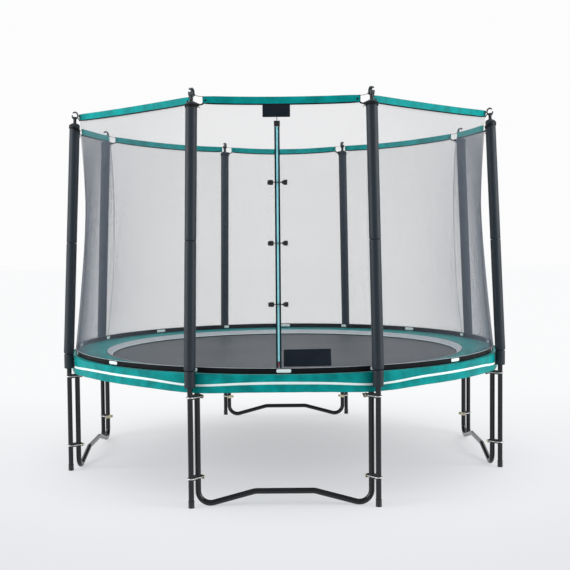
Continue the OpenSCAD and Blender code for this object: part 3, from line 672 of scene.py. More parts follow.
def plated_metal(name, colour, roughness=0.32):
    """Zinc plate with cloudy tarnish and fine draw marks."""
    material, tree, shader = surface(name, colour, roughness, Metallic=0.9)
    vector = coordinates(tree, False)
    cloud = mottle(tree, vector, 60)
    shade(tree, shader, cloud, colour, 0.18)
    gloss(tree, shader, cloud, roughness - 0.08, roughness + 0.14)
    relief(tree, shader, mottle(tree, vector, 900, 2), 0.00005, 0.4)
    return material


def moulded_plastic(name, colour, roughness=0.42):
    """Injection-moulded plastic with a fine grain."""
    material, tree, shader = surface(name, colour, roughness)
    vector = coordinates(tree, False)
    shade(tree, shader, mottle(tree, vector, 30), colour, 0.15)
    gloss(tree, shader, mottle(tree, vector, 80), roughness - 0.08, roughness + 0.08)
    relief(tree, shader, mottle(tree, vector, 1500, 2), 0.00008, 0.5)
    return material


def foam_cover(name, colour):
    """Foam in a thin ribbed film: soft sheen, small dents."""
    soft = {"Specular IOR Level": 0.3, "Sheen Weight": 0.04, "Sheen Roughness": 0.3}
    material, tree, shader = surface(name, colour, 0.5, **soft)
    vector = coordinates(tree, False)
    broad = mottle(tree, vector, 14)
    shade(tree, shader, broad, colour, 0.2)
    gloss(tree, shader, broad, 0.42, 0.6)
    dents = math_node(tree, "ADD", mottle(tree, vector, 260, 2), math_node(tree, "MULTIPLY", broad, 2))
    relief(tree, shader, dents, 0.0005, 0.5)
    return material


def coated_cloth(name, colour, pitch=0.002, roughness=0.5, uv=True, spread=0.1, coat=0.02):
    """Woven cloth under a soft plastic coat: faint weave, creases, cloudy gloss, and lighter and darker
    colour patches that are random tone and painted highlight and shade on the creases.
    """
    gloss_values = {"Coat Weight": coat, "Coat Roughness": 0.22, "Specular IOR Level": 0.06}
    material, tree, shader = surface(name, colour, roughness, **gloss_values)
    vector = coordinates(tree, uv)
    # Random tone, stretched into strong lighter and darker patches that stand in for highlights and shade on
    # the creases: painted light. The same patches vary the gloss.
    painted_crease_light_and_gloss = math_node(tree, "MULTIPLY", mottle(tree, coordinates(tree, False), 13, 6), 3.0)
    cloud = math_node(tree, "SUBTRACT", painted_crease_light_and_gloss, 1.0)
    shade(tree, shader, cloud, colour, spread)
    gloss(tree, shader, cloud, roughness - 0.08, roughness + 0.1)
    crease = math_node(tree, "MULTIPLY", mottle(tree, coordinates(tree, False), 24), 14)
    height = math_node(tree, "ADD", weave(tree, vector, pitch), crease)
    relief(tree, shader, height, 0.0004, 0.6)
    return material


def webbing_cloth(name, colour, pitch=0.0024):
    """Coarse matt webbing."""
    soft = {"Sheen Weight": 0.03, "Sheen Roughness": 0.5, "Specular IOR Level": 0.15}
    material, tree, shader = surface(name, colour, 0.75, **soft)
    vector = coordinates(tree, False)
    shade(tree, shader, mottle(tree, vector, 40), colour, 0.3)
    relief(tree, shader, weave(tree, vector, pitch), 0.0005, 0.6)
    return material


def woven_mat(name, colour):
    """Tight woven mat whose flat threads shine at a low angle."""
    material, tree, shader = surface(name, colour, 0.5, **{"Specular IOR Level": 0.6})
    vector = coordinates(tree, False)
    broad = mottle(tree, vector, 1.6)
    shade(tree, shader, broad, colour, 0.18)
    gloss(tree, shader, broad, 0.42, 0.56)
    lines = math_node(tree, "MULTIPLY", threads(tree, vector, 0.05, "X"), 0.6)
    relief(tree, shader, math_node(tree, "ADD", weave(tree, vector, 0.0025), lines), 0.0003, 0.5)
    return material


def net_cloth(name, colour, pitch, cover):
    """Fine knotless net: crossing threads that close up when the net is seen from the side."""
    material, tree, shader = surface(name, colour, 0.7)
    map_node = node(tree, "ShaderNodeMapping")
    map_node.inputs["Rotation"].default_value = (0, 0, math.radians(45))
    tree.links.new(coordinates(tree, True), map_node.inputs["Vector"])
    crossing = weave(tree, map_node.outputs["Vector"], pitch)
    solid = map_range(tree, crossing, (0.7, 1.0), (0.35 * cover, 2.8 * cover), smooth=True)
    edge = node(tree, "ShaderNodeLayerWeight")
    edge.inputs["Blend"].default_value = 0.5
    facing = math_node(tree, "MAXIMUM", math_node(tree, "SUBTRACT", 1.0, edge.outputs["Facing"]), 0.04)
    closed = math_node(tree, "DIVIDE", solid, facing)
    tree.links.new(math_node(tree, "MINIMUM", closed, 0.9), shader.inputs["Alpha"])
    return material


MAKERS = {
    "steel": lambda c: painted_steel("Black painted tube", c.steel),
    "zinc": lambda c: plated_metal("Plated steel", c.zinc),
    "brass_zinc": lambda c: plated_metal("Yellow plated steel", c.brass_zinc),
    "foam": lambda c: foam_cover("Foam sleeve", c.foam),
    "moulded": lambda c: moulded_plastic("Black moulding", c.moulded),
    "knob": lambda c: moulded_plastic("Brown moulding", c.knob, 0.35),
    "hook": lambda c: moulded_plastic("Hook moulding", c.hook, 0.4),
    "mat": lambda c: woven_mat("Woven mat", c.mat),
    "webbing": lambda c: webbing_cloth("Black webbing", c.webbing),
    # The teal's wide colour spread is painted highlight and shade on its creases, over random tone.
    "teal": lambda c: coated_cloth("Teal cover", c.teal, roughness=0.45, spread=0.24, coat=0.04),
    "silver": lambda c: coated_cloth("Silver border", c.silver, roughness=0.38, spread=0.05),
    "white": lambda c: coated_cloth("White cloth", c.white, roughness=0.55, spread=0.02, coat=0.05),
    "binding": lambda c: coated_cloth("Dark binding", c.webbing, roughness=0.45, uv=False, coat=0.02),
    "tape": lambda c: webbing_cloth("Zip tape", c.tape, 0.0016),
    "teeth": lambda c: moulded_plastic("Zip teeth", c.teeth, 0.35),
    "label": lambda c: coated_cloth("Blank label", c.label, 0.0012, 0.36, uv=False, coat=0.02),
    "pull": lambda c: moulded_plastic("Zip pull", c.pull, 0.35),
}
finishes = {}


def look(name):
    """The finish of that name, made at its first use."""
    if name not in finishes:
        if name == "net":
            sizes = bpy.context.scene.trampoline_net
            colour = bpy.context.scene.trampoline_colours.net
            finishes[name] = net_cloth("Net", colour, sizes.mesh_pitch, sizes.cover)
        else:
            finishes[name] = MAKERS[name](bpy.context.scene.trampoline_colours)
    return finishes[name]


def dress(finish, *names):
    """Gives kept CAD nodes their finish."""
    for name in names:
        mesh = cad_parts[name].data
        mesh.materials.clear()
        mesh.materials.append(look(finish))


# ------------------------------------------------------------------ operators


class PieceOperator:
    """What the operators share."""

    bl_options = {"REGISTER", "UNDO"}


class TRAMPOLINE_OT_studio(PieceOperator, bpy.types.Operator):
    """Add the floor, the light and the camera"""

    bl_idname = "trampoline.studio"
    bl_label = "Studio"

    def execute(self, context):
        sizes = context.scene.trampoline_studio
        self.add_floor(context)
        overhead_size, side_size = 4.5, 4.2
        place, target = Vector((0, -0.5, 5.2)), Vector((0, 0, 0))
        self.add_lamp(context, "Overhead lamp", sizes.overhead, overhead_size, place, target)
        for name, x in (("Left lamp", -6.2), ("Right lamp", 6.2)):
            place, target = Vector((x, -3.0, 2.8)), Vector((0, 0, 1.2))
            self.add_lamp(context, name, sizes.side, side_size, place, target)
        self.light_surroundings(context, sizes)
        self.add_camera(context, sizes)
        context.scene.view_settings.view_transform = "Standard"
        return {"FINISHED"}

    @staticmethod
    def add_floor(context):
        """Pale floor that partly glows, as painted light: the glow lifts the trampoline's cast shadow round
        the middle, grows paler towards the back and takes over far from the trampoline, where the floor fades
        into the surroundings.
        """
        bm = bmesh.new()
        bmesh.ops.create_circle(bm, cap_ends=True, segments=96, radius=60)
        colour = context.scene.trampoline_colours.floor
        material, tree, shader = surface("Studio floor", colour, 0.9)
        vector = coordinates(tree, False)
        shade(tree, shader, mottle(tree, vector, 1.5), colour, 0.01)
        distance = node(tree, "ShaderNodeVectorMath", operation="LENGTH")
        tree.links.new(vector, distance.inputs[0])
        # Share of painted glow in the floor: 0.45 round the middle, where it lifts the cast shadow, up to all
        # glow far out.
        painted_glow_share = map_range(tree, distance.outputs["Value"], (0.8, 2.7), (0.45, 1), smooth=True)
        # Painted light: the glow grows paler towards the back.
        away = map_range(tree, depth_of(tree, vector), (-2.6, 3.6), (0, 1), smooth=True)
        near_colour, far_colour = (0.805, 0.815, 0.845), (0.955, 0.96, 0.968)
        glow = node(tree, "ShaderNodeEmission")
        tree.links.new(blend_colours(tree, away, near_colour, far_colour), glow.inputs["Color"])
        mix = node(tree, "ShaderNodeMixShader")
        tree.links.new(painted_glow_share, mix.inputs["Fac"])
        tree.links.new(shader.outputs["BSDF"], mix.inputs[1])
        tree.links.new(glow.outputs["Emission"], mix.inputs[2])
        tree.links.new(mix.outputs["Shader"], tree.nodes["Material Output"].inputs["Surface"])
        finish_mesh("studio_floor", bm, [material])

    @staticmethod
    def add_lamp(context, name, power, size, place, target):
        """Large soft lamp that looks at a point."""
        light = bpy.data.lights.new(name, "AREA")
        light.energy = power
        light.size = size
        lamp = bpy.data.objects.new(name, light)
        aim = (target - place).to_track_quat("-Z", "Y").to_matrix().to_4x4()
        lamp.matrix_world = Matrix.Translation(place) @ aim
        context.scene.collection.objects.link(lamp)

    @staticmethod
    def light_surroundings(context, sizes):
        """White surroundings that are dimmer behind the camera."""
        world = bpy.data.worlds.new("Studio")
        world.use_nodes = True
        tree = world.node_tree
        background = tree.nodes["Background"]
        background.inputs["Color"].default_value = (0.975, 0.975, 0.98, 1)
        direction = node(tree, "ShaderNodeTexCoord").outputs["Generated"]
        ahead = depth_of(tree, direction)
        strength = map_range(tree, ahead, (-0.6, 0.6), (sizes.front, sizes.sky), smooth=True)
        tree.links.new(strength, background.inputs["Strength"])
        context.scene.world = world

    @staticmethod
    def add_camera(context, sizes):
        """Camera at standing height in front of the door."""
        camera = bpy.data.cameras.new("Camera")
        camera.sensor_width = 36
        camera.lens = sizes.lens
        right = Vector((math.cos(sizes.yaw), math.sin(sizes.yaw), 0))
        level = Vector((-math.sin(sizes.yaw), math.cos(sizes.yaw), 0))
        ahead = level * math.cos(sizes.pitch) - Vector((0, 0, math.sin(sizes.pitch)))
        up = level * math.sin(sizes.pitch) + Vector((0, 0, math.cos(sizes.pitch)))
        across = right * math.cos(sizes.roll) + up * math.sin(sizes.roll)
        upright = up * math.cos(sizes.roll) - right * math.sin(sizes.roll)
        axes = Matrix((across, upright, -ahead)).transposed().to_4x4()
        place = Matrix.Translation((sizes.camera_x, sizes.camera_y, sizes.camera_z))
        holder = bpy.data.objects.new("Camera", camera)
        holder.matrix_world = place @ axes
        context.scene.collection.objects.link(holder)
        context.scene.camera = holder


class TRAMPOLINE_OT_steel(PieceOperator, bpy.types.Operator):
    """Finish the tubes, sockets, screws and clamps"""

    bl_idname = "trampoline.steel"
    bl_label = "Steel frame"

    def execute(self, context):
        poles = [f"pole_{k + 1}" for k in range(PANELS)]
        legs = ["leg_front", "leg_right", "leg_back", "leg_left", "leg_uprights"]
        dress("steel", "top_rail", "rail_sockets", *legs, *poles)
        dress("zinc", "socket_screws", "clamp_ubolts")
        dress("brass_zinc", "clamp_plates", "clamp_nuts")
        dress("moulded", "clamp_saddles")
        return {"FINISHED"}


class TRAMPOLINE_OT_knobs(PieceOperator, bpy.types.Operator):
    """Round the three-winged knobs of the upper clamps"""

    bl_idname = "trampoline.knobs"
    bl_label = "Clamp knobs"

    def execute(self, context):
        node_name = "clamp_knobs"
        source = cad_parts[node_name].data
        bm = bmesh.new()
        bm.from_mesh(source)
        bmesh.ops.remove_doubles(bm, verts=bm.verts, dist=2e-5)
        bmesh.ops.dissolve_limit(bm, angle_limit=math.radians(2), verts=bm.verts, edges=bm.edges)
        round_edges(bm, sharp_edges(bm, 35), 0.0012)
        add_piece("wing_knobs", bm, [look("knob")], "frame", [node_name])
        return {"FINISHED"}


class TRAMPOLINE_OT_feet(PieceOperator, bpy.types.Operator):
    """Add the moulded caps under the poles"""

    bl_idname = "trampoline.feet"
    bl_label = "Foot caps"

    def execute(self, context):
        sizes = context.scene.trampoline_frame
        top = sizes.foot_height
        bore = sizes.pole_tube + 0.1 * MM
        outer, edge, lip, floor = 0.01825, 0.003, 0.0012, 0.004
        waist = outer - 0.0008
        profile = [(0, 0)]
        profile += round_end(outer - edge, edge, edge, -90, 0)
        profile += [(outer, 0.009), (waist, 0.0105), (waist, top - 0.006), (outer, top - 0.0045)]
        profile += round_end(outer - lip, top - lip, lip, 0, 90)
        profile += [(bore, top), (bore, floor), (0, floor)]
        bm = bmesh.new()
        put(bm, turned(profile, 48, False), [pole_frame(k) for k in range(PANELS)])
        add_piece("foot_caps", bm, [look("moulded")], "frame", ["pole_feet"])
        return {"FINISHED"}


class TRAMPOLINE_OT_pole_tops(PieceOperator, bpy.types.Operator):
    """Add the plug, neck and open clip on each pole"""

    bl_idname = "trampoline.pole_tops"
    bl_label = "Pole tops"

    def execute(self, context):
        sizes = context.scene.trampoline_frame
        bm = bmesh.new()
        tops = [lean_frame(k) @ Matrix.Translation((0, 0, along_lean(sizes.pole_top))) for k in range(PANELS)]
        put(bm, self.neck(), tops)
        put(bm, self.saddle(), tops)
        put(bm, self.clip(), tops, 1)
        materials = [look("moulded"), look("hook")]
        add_piece("pole_tops", bm, materials, "frame", ["pole_hooks"])
        return {"FINISHED"}

    @staticmethod
    def neck():
        """Flange on the tube's end, ribbed neck and the plug inside the tube."""
        profile = [(0, -0.03), (0.0143, -0.03), (0.0143, 0)]
        profile += round_end(0.0159, 0.0011, 0.0011, -90, 0)
        profile += round_end(0.0159, 0.0019, 0.0011, 0, 90)
        profile += [(0.0125, 0.0034), (0.0112, 0.0052)]
        for rib in range(3):
            height = 0.0085 + rib * 0.0048
            profile += [(0.0100, height), (0.0110, height + 0.0016), (0.0110, height + 0.0026)]
        profile += [(0.0104, 0.0245), (0.0104, 0.031), (0, 0.031)]
        return turned(profile, 32, False)

    @staticmethod
    def saddle():
        """Web that carries the clip on the neck and runs up inside it."""
        part = block((0.0120, 0.030, 0.020), (0, 0, 0.0365), 0.0022, 2)
        for vert in part.verts:
            if vert.co.z < 0.036:
                vert.co.y *= 0.72
        return part

    @staticmethod
    def clip():
        """Wide oval clip whose axis lies across the pole, open on its outer side."""
        part = bmesh.new()
        half_width, inner, outer, centre = 0.0120, 0.0152, 0.0220, 0.0545
        corners = [(-1, -1), (1, -1), (1, 1), (-1, 1)]
        middle, depth = (inner + outer) / 2, (outer - inner) / 2
        low_lip, high_lip = math.radians(2), math.radians(40)
        start = Matrix.Rotation(-low_lip, 3, "X")
        verts = [part.verts.new(start @ Vector((x * half_width, -middle - y * depth, 0))) for x, y in corners]
        face = part.faces.new(verts)
        sweep = FULL_TURN - (high_lip - low_lip)
        bmesh.ops.spin(part, geom=[face], cent=(0, 0, 0), axis=(1, 0, 0), angle=sweep, steps=36)
        bmesh.ops.remove_doubles(part, verts=part.verts, dist=1e-6)
        bmesh.ops.recalc_face_normals(part, faces=part.faces)
        round_edges(part, sharp_edges(part, 40), 0.0016, 3)
        for vert in part.verts:
            vert.co.x *= 1 - 0.25 * max(0, vert.co.z / outer) ** 2
            vert.co.z = centre + vert.co.z * 1.25
        return part


class TRAMPOLINE_OT_sleeves(PieceOperator, bpy.types.Operator):
    """Add the foam sleeves round the poles"""

    bl_idname = "trampoline.sleeves"
    bl_label = "Foam sleeves"

    def execute(self, context):
        sizes = context.scene.trampoline_frame
        for index in range(PANELS):
            bm = bmesh.new()
            joint = along_lean(sizes.sleeve_joint)
            top = along_lean(sizes.pole_top)
            place = pole_frame(index) @ Matrix.Translation((0, 0, sizes.sleeve_low))
            cuff_tall = sizes.lean_height - sizes.sleeve_low - 0.0012
            put(bm, self.foam(sizes, sizes.cuff_radius, cuff_tall, 0.006, 0.006, index, 0.3), [place])
            wide = sizes.sleeve_radius
            lower = self.foam(sizes, wide, joint - 0.0024, 0.005, 0.005, index + 20, 1.0)
            put(bm, lower, [lean_frame(index) @ Matrix.Translation((0, 0, 0.0016))])
            upper = self.foam(sizes, wide, top - joint, 0.005, 0.015, index + 40, 1.0, gathered=True)
            put(bm, upper, [lean_frame(index) @ Matrix.Translation((0, 0, joint))])
            name = f"foam_sleeve_{index + 1}"
            piece = add_piece(name, bm, [look("foam")], "frame", [f"sleeve_{index + 1}"], 60)
        return {"FINISHED"}

    @staticmethod
    def foam(sizes, radius, tall, low_round, top_round, seed, dents, gathered=False):
        """Foam tube with rounded ends, slightly uneven, and pleats where its top is gathered."""
        bore = sizes.pole_tube + 0.1 * MM
        rings = max(6, round(tall / 0.03))
        wall = [(radius, low_round + (tall - low_round - top_round) * k / rings) for k in range(1, rings)]
        profile = [(bore, 0)]
        profile += round_end(radius - low_round, low_round, low_round, -90, 0)
        profile += wall
        profile += round_end(radius - top_round, tall - top_round, top_round, 0, 90, 6)
        profile += [(bore, tall)]
        part = turned(profile, 44)
        for vert in part.verts:
            x, y, z = vert.co
            spread = math.hypot(x, y)
            if spread < bore + 0.002:
                continue
            around = math.atan2(y, x)
            hollow = 0.35 * (1 + ripple(3 * math.cos(around), 3 * math.sin(around) + z * 14, seed)) * dents
            pleat = 0
            if gathered:
                near = max(0, 1 - (tall - z) / 0.05)
                pleat = 1.1 * near * near * (1 + math.cos(11 * around))
            scale = 1 - (hollow + pleat) * MM / spread
            vert.co.x, vert.co.y = x * scale, y * scale
        return part


class TRAMPOLINE_OT_mat(PieceOperator, bpy.types.Operator):
    """Add the woven jumping mat"""

    bl_idname = "trampoline.mat"
    bl_label = "Jumping mat"

    def execute(self, context):
        sizes = context.scene.trampoline_mat

        def place(u, v):
            share = 1 - v
            edge = 0.4 * MM * math.cos(sizes.spring_count * FULL_TURN * u) * share**8
            height = sizes.top - sizes.sag * (1 - share * share) + edge
            return polar(sizes.radius * share, FULL_TURN * u, height)

        bm = cloth(192, 30, place, FULL_TURN * sizes.radius, sizes.radius)
        piece = add_piece("jumping_mat", bm, [look("mat")], "mat_bed", ["mat"])
        thicken(piece, sizes.thickness)
        return {"FINISHED"}


class TRAMPOLINE_OT_webbing(PieceOperator, bpy.types.Operator):
    """Add the stitched webbing and the ring loops round the mat's edge"""

    bl_idname = "trampoline.webbing"
    bl_label = "Mat webbing"

    def execute(self, context):
        sizes = context.scene.trampoline_mat
        inner = sizes.webbing_out - sizes.webbing_width
        lift = 1.2 * MM
        upper, lower = sizes.top + lift, sizes.top - sizes.thickness - lift
        edge = 0.001
        profile = [(inner, lower), (sizes.webbing_out - edge, lower)]
        profile += round_end(sizes.webbing_out - edge, lower + edge, edge, -90, 0, 2)
        profile += round_end(sizes.webbing_out - edge, upper - edge, edge, 0, 90, 2)
        profile += [(inner, upper)]
        bm = bmesh.new()
        put(bm, turned(profile, 256))
        rows = (inner + 0.006, sizes.webbing_out - 0.009)
        stitch_pitch = 0.019
        for radius in rows:
            count = round(FULL_TURN * radius / stitch_pitch)
            stitch = block((0.012, 0.0014, 0.0009), (0, -radius, upper + 0.1 * MM), 0.0003, 1)
            put(bm, stitch, round_steps(count, 0), 1)
        far, near = -sizes.webbing_out + 0.001, -inner - 0.014
        loop = span(-0.017, 0.017, far, near, upper - 0.0003, upper + 0.0011, 0.0005)
        put(bm, loop, round_steps(sizes.spring_count))
        materials = [look("webbing"), look("white")]
        add_piece("edge_webbing", bm, materials, "mat_bed", ["mat_webbing"])
        return {"FINISHED"}


class TRAMPOLINE_OT_rings(PieceOperator, bpy.types.Operator):
    """Add the bent wire rings that the springs hold"""

    bl_idname = "trampoline.rings"
    bl_label = "Mat rings"

    def execute(self, context):
        sizes = context.scene.trampoline_mat
        height = context.scene.trampoline_frame.rail_height
        radius = sizes.ring_wire
        near = -sizes.ring_radius - 0.002
        far = near - sizes.ring_length + 0.004
        corners = [(-0.0130, near), (0.0130, near), (0.0050, far), (-0.0050, far)]
        ring = wire(self.rounded(corners, 0.0028, height), radius, 2, closed=True)
        bm = bmesh.new()
        put(bm, ring, round_steps(sizes.spring_count))
        add_piece("wire_rings", bm, [look("zinc")], "mat_bed", ["mat_rings"])
        return {"FINISHED"}

    @staticmethod
    def rounded(corners, radius, height):
        """Closed line through corners that are rounded by a curve."""
        points = []
        for index, corner in enumerate(corners):
            here = Vector((*corner, height))
            before = Vector((*corners[index - 1], height))
            after = Vector((*corners[(index + 1) % len(corners)], height))
            start = here + (before - here).normalized() * radius
            end = here + (after - here).normalized() * radius
            for step in range(5):
                t = step / 4
                points.append(start * (1 - t) ** 2 + here * 2 * t * (1 - t) + end * t * t)
        return points


class TRAMPOLINE_OT_springs(PieceOperator, bpy.types.Operator):
    """Add the coil springs between the mat rings and the rail"""

    bl_idname = "trampoline.springs"
    bl_label = "Springs"

    def execute(self, context):
        sizes = context.scene.trampoline_mat
        height = context.scene.trampoline_frame.rail_height
        loop_centre, loop_radius = 1.3536, 0.0065
        coil_start, coil_end, rail_end = 1.3603, 1.4655, 1.4940
        part = wire(
            self.line(sizes, loop_centre, loop_radius, coil_start, coil_end, rail_end), sizes.spring_wire, 1
        )
        bmesh.ops.translate(part, verts=part.verts, vec=(0, 0, height))
        for index in range(sizes.spring_count):
            azimuth = FULL_TURN * (index + 0.5) / sizes.spring_count
            bm = part.copy()
            bmesh.ops.transform(bm, matrix=turn(azimuth), verts=bm.verts)
            spring = finish_mesh(f"spring_{index + 1}", bm, [look("zinc")], 60)
            start = polar(rail_end - 0.006, azimuth, height)
            end = polar(loop_centre, azimuth, height)
            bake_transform(spring)
            if index == 0:
                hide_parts("springs")
        part.free()
        return {"FINISHED"}

    @staticmethod
    def line(sizes, loop_centre, loop_radius, coil_start, coil_end, rail_end):
        """Centreline: end loop, close coil and straight end, outwards along -Y."""
        points = []
        for step in range(15):
            around = math.radians(20 + 320 * step / 14)
            points.append(
                Vector((0, -loop_centre - loop_radius * math.cos(around), loop_radius * math.sin(around)))
            )
        points.reverse()
        coil = sizes.spring_radius - sizes.spring_wire
        per_turn = 12
        total = sizes.spring_turns * per_turn
        for step in range(total + 1):
            around = FULL_TURN * step / per_turn + math.pi / 2
            grow = min(1, step / 5, (total - step) / 6)
            reach = coil * (0.45 + 0.55 * grow) if step < total / 2 else coil * grow
            out = coil_start + (coil_end - coil_start) * step / total
            points.append(Vector((reach * math.cos(around), -out, reach * math.sin(around))))
        points.append(Vector((0, -(coil_end + rail_end) / 2, 0)))
        points.append(Vector((0, -rail_end, 0)))
        return points


class TRAMPOLINE_OT_pad(PieceOperator, bpy.types.Operator):
    """Add the padded rim cover"""

    bl_idname = "trampoline.pad"
    bl_label = "Rim pad"

    def execute(self, context):
        sizes = context.scene.trampoline_covers
        wide = sizes.pad_outer - sizes.pad_inner
        top_steps, edge_steps, low_steps = 20, 3, 6
        outline = []
        for step in range(top_steps + 1):
            share = step / top_steps
            drawn = 0.0045 * (max(0, 1 - share / 0.09) ** 2 + max(0, 1 - (1 - share) / 0.07) ** 2)
            height = sizes.pad_rim + sizes.pad_crown * (1 - (2 * share - 1) ** 2) - drawn
            outline.append((sizes.pad_outer - wide * share, height, 1.0))
        for step in range(1, edge_steps):
            share = step / edge_steps
            inward = 0.002 * math.sin(math.pi * share)
            height = outline[top_steps][1] * (1 - share) + sizes.pad_low * share
            outline.append((sizes.pad_inner + inward, height, 0))
        for step in range(low_steps + 1):
            outline.append((sizes.pad_inner + wide * step / low_steps, sizes.pad_low, 0))
        for step in range(1, edge_steps):
            share = step / edge_steps
            height = sizes.pad_low * (1 - share) + outline[0][1] * share
            outline.append((sizes.pad_outer - 0.0015 * math.sin(math.pi * share), height, 0))
        outline.append(outline[0])
        seams = PANELS

        def place(u, v):
            around = crowded(u, seams)
            radius, height, top = outline[min(len(outline) - 1, round(v * (len(outline) - 1)))]
            azimuth = FULL_TURN * around
            x, y = radius * math.cos(azimuth), radius * math.sin(azimuth)
            share = (sizes.pad_outer - radius) / wide
            edge = max(0, 1 - min(share, 1 - share) / 0.3)
            soft = 1.5 * (1 + ripple(x * 6, y * 6, 3.0))
            pucker = 1.8 * edge * (1 + ring_noise(azimuth, 16, share * 1.5, 7.0))
            groove = 5.0 * seam_depth(around, seams, 0.0022)
            drop = (soft + pucker + groove) * MM * top
            return polar(radius, azimuth, height - drop)

        bm = cloth(640, len(outline) - 1, place, FULL_TURN * sizes.pad_outer, 2 * wide)
        piece = add_piece("rim_pad", bm, [look("teal")], "frame", ["frame_pad"], 50)
        return {"FINISHED"}


class TRAMPOLINE_OT_border(PieceOperator, bpy.types.Operator):
    """Add the light border between the pad and the mat"""

    bl_idname = "trampoline.border"
    bl_label = "Pad border"

    def execute(self, context):
        sizes = context.scene.trampoline_covers
        outer_radius, outer_height = sizes.pad_inner - 0.0003, sizes.pad_rim
        thickness = 0.0018
        inner_height = sizes.border_low + thickness

        def place(u, v):
            azimuth = FULL_TURN * u
            radius = outer_radius + (sizes.border_inner + 0.001 - outer_radius) * v
            height = outer_height + (inner_height - outer_height) * v
            slack = math.sin(math.pi * v) * 1.3 * ring_noise(azimuth, 22, v * 2, 11.0)
            return polar(radius, azimuth, height + (slack - 0.8) * MM * math.sin(math.pi * v))

        slope = math.hypot(outer_radius - sizes.border_inner, outer_height - inner_height)
        middle = (outer_radius + sizes.border_inner) / 2
        bm = cloth(480, 8, place, FULL_TURN * middle, slope)
        piece = add_piece("silver_border", bm, [look("silver")], "frame", ["pad_border"], 50)
        thicken(piece, thickness)
        profile = round_end(sizes.border_inner + 0.0022, sizes.border_low + 0.0022, 0.0021, 0, 330, 11)
        edge = bmesh.new()
        put(edge, turned(profile, 256))
        edging = add_piece("border_piping", edge, [look("white")], "frame", (), 60)
        return {"FINISHED"}


def pole_distance(azimuth, radius):
    """Distance along the rim to the nearest pole."""
    turns = [(azimuth - pole_azimuth(k) + math.pi) % FULL_TURN - math.pi for k in range(PANELS)]
    return radius * min(abs(away) for away in turns)


def skirt_drop(azimuth, height):
    """How far the skirt hangs lower: it slips down at the poles, most at the stripe."""
    sizes = bpy.context.scene.trampoline_covers
    reach, stripe_share, foot_part = 0.26, 0.6, 0.6
    near = math.exp(-((pole_distance(azimuth, sizes.skirt_radius) / reach) ** 2))
    share = (height - sizes.skirt_low) / (sizes.skirt_top - sizes.skirt_low)
    if share > stripe_share:
        part = min(1, (1 - share) / (1 - stripe_share))
    else:
        part = foot_part + (1 - foot_part) * share / stripe_share
    uneven = 0.12 * ring_noise(azimuth, 5, 0, 51.0)
    return sizes.skirt_slip * part * (near + uneven)


def skirt_offset(azimuth, height):
    """How far the skirt stands out of its plain round shape: small creases that grow below the stripe."""
    sizes = bpy.context.scene.trampoline_covers
    held_width = 0.09
    free = 1 - math.exp(-((pole_distance(azimuth, sizes.skirt_radius) / held_width) ** 2))
    fall = min(1, max(0, (sizes.stripe_top - height) / (sizes.stripe_top - sizes.skirt_low)))
    broad = ring_noise(azimuth, 9, height * 6, 21.0)
    fine = ring_noise(azimuth, 34, height * 14, 23.0)
    crumple = ring_noise(azimuth, 70, height * 40, 27.0)
    folds = fall * (2.8 * broad + 1.9 * fine + 1.2)
    return free * (folds + 0.5 * (fine + crumple)) * MM


class TRAMPOLINE_OT_skirt(PieceOperator, bpy.types.Operator):
    """Add the skirt with its stripe"""

    bl_idname = "trampoline.skirt"
    bl_label = "Pad skirt"

    def execute(self, context):
        sizes = context.scene.trampoline_covers
        round_length = FULL_TURN * sizes.skirt_radius
        tall = sizes.skirt_top - sizes.skirt_low
        hem, cloth_thick, tape_thick = 0.012, 0.0011, 0.0005

        def place(u, v):
            azimuth = FULL_TURN * u
            height = sizes.skirt_low + tall * v
            fold = 0.5 * MM if height - sizes.skirt_low < hem else 0
            radius = sizes.skirt_radius - 0.5 * MM + fold + skirt_offset(azimuth, height)
            edge = 1.1 * MM * ring_noise(azimuth, 18, 0, 31.0) * max(0, 1 - v * 4)
            return polar(radius, azimuth, height + max(0, edge) - skirt_drop(azimuth, height))

        bm = cloth(960, 20, place, round_length, tall)
        skirt = add_piece("skirt", bm, [look("teal")], "frame", ["pad_skirt"], 50)
        thicken(skirt, cloth_thick)
        wide = sizes.stripe_top - sizes.stripe_low

        def stripe_place(u, v):
            azimuth = FULL_TURN * u
            height = sizes.stripe_low + wide * v
            radius = sizes.skirt_radius + 0.3 * MM + skirt_offset(azimuth, height)
            return polar(radius, azimuth, height - skirt_drop(azimuth, height))

        bm = cloth(960, 4, stripe_place, round_length, wide)
        stripe = add_piece("white_stripe", bm, [look("white")], "frame", ["skirt_stripe"], 50)
        thicken(stripe, tape_thick)
        return {"FINISHED"}


class TRAMPOLINE_OT_straps(PieceOperator, bpy.types.Operator):
    """Add the elastic loops that hold the pad to the rail"""

    bl_idname = "trampoline.straps"
    bl_label = "Pad straps"

    def execute(self, context):
        rail = context.scene.trampoline_frame
        count = 16
        inner = rail.rail_tube + 0.1 * MM
        outer = inner + 0.8 * MM
        top = rail.rail_tube + 0.3 * MM
        half = 0.0125
        outside = [(outer, top)] + round_end(0, 0, outer, 0, -180, 24) + [(-outer, top)]
        inside = [(-inner, top)] + round_end(0, 0, inner, -180, 0, 24) + [(inner, top)]
        outline = [(-rail.rail_radius - y, rail.rail_height + z) for y, z in outside + inside]
        part = prism(outline, -half, half)
        bmesh.ops.triangulate(part, faces=[f for f in part.faces if len(f.verts) > 4])
        bm = bmesh.new()
        put(bm, part, round_steps(count))
        add_piece("elastic_straps", bm, [look("webbing")], "frame", ["pad_straps"], 50)
        return {"FINISHED"}


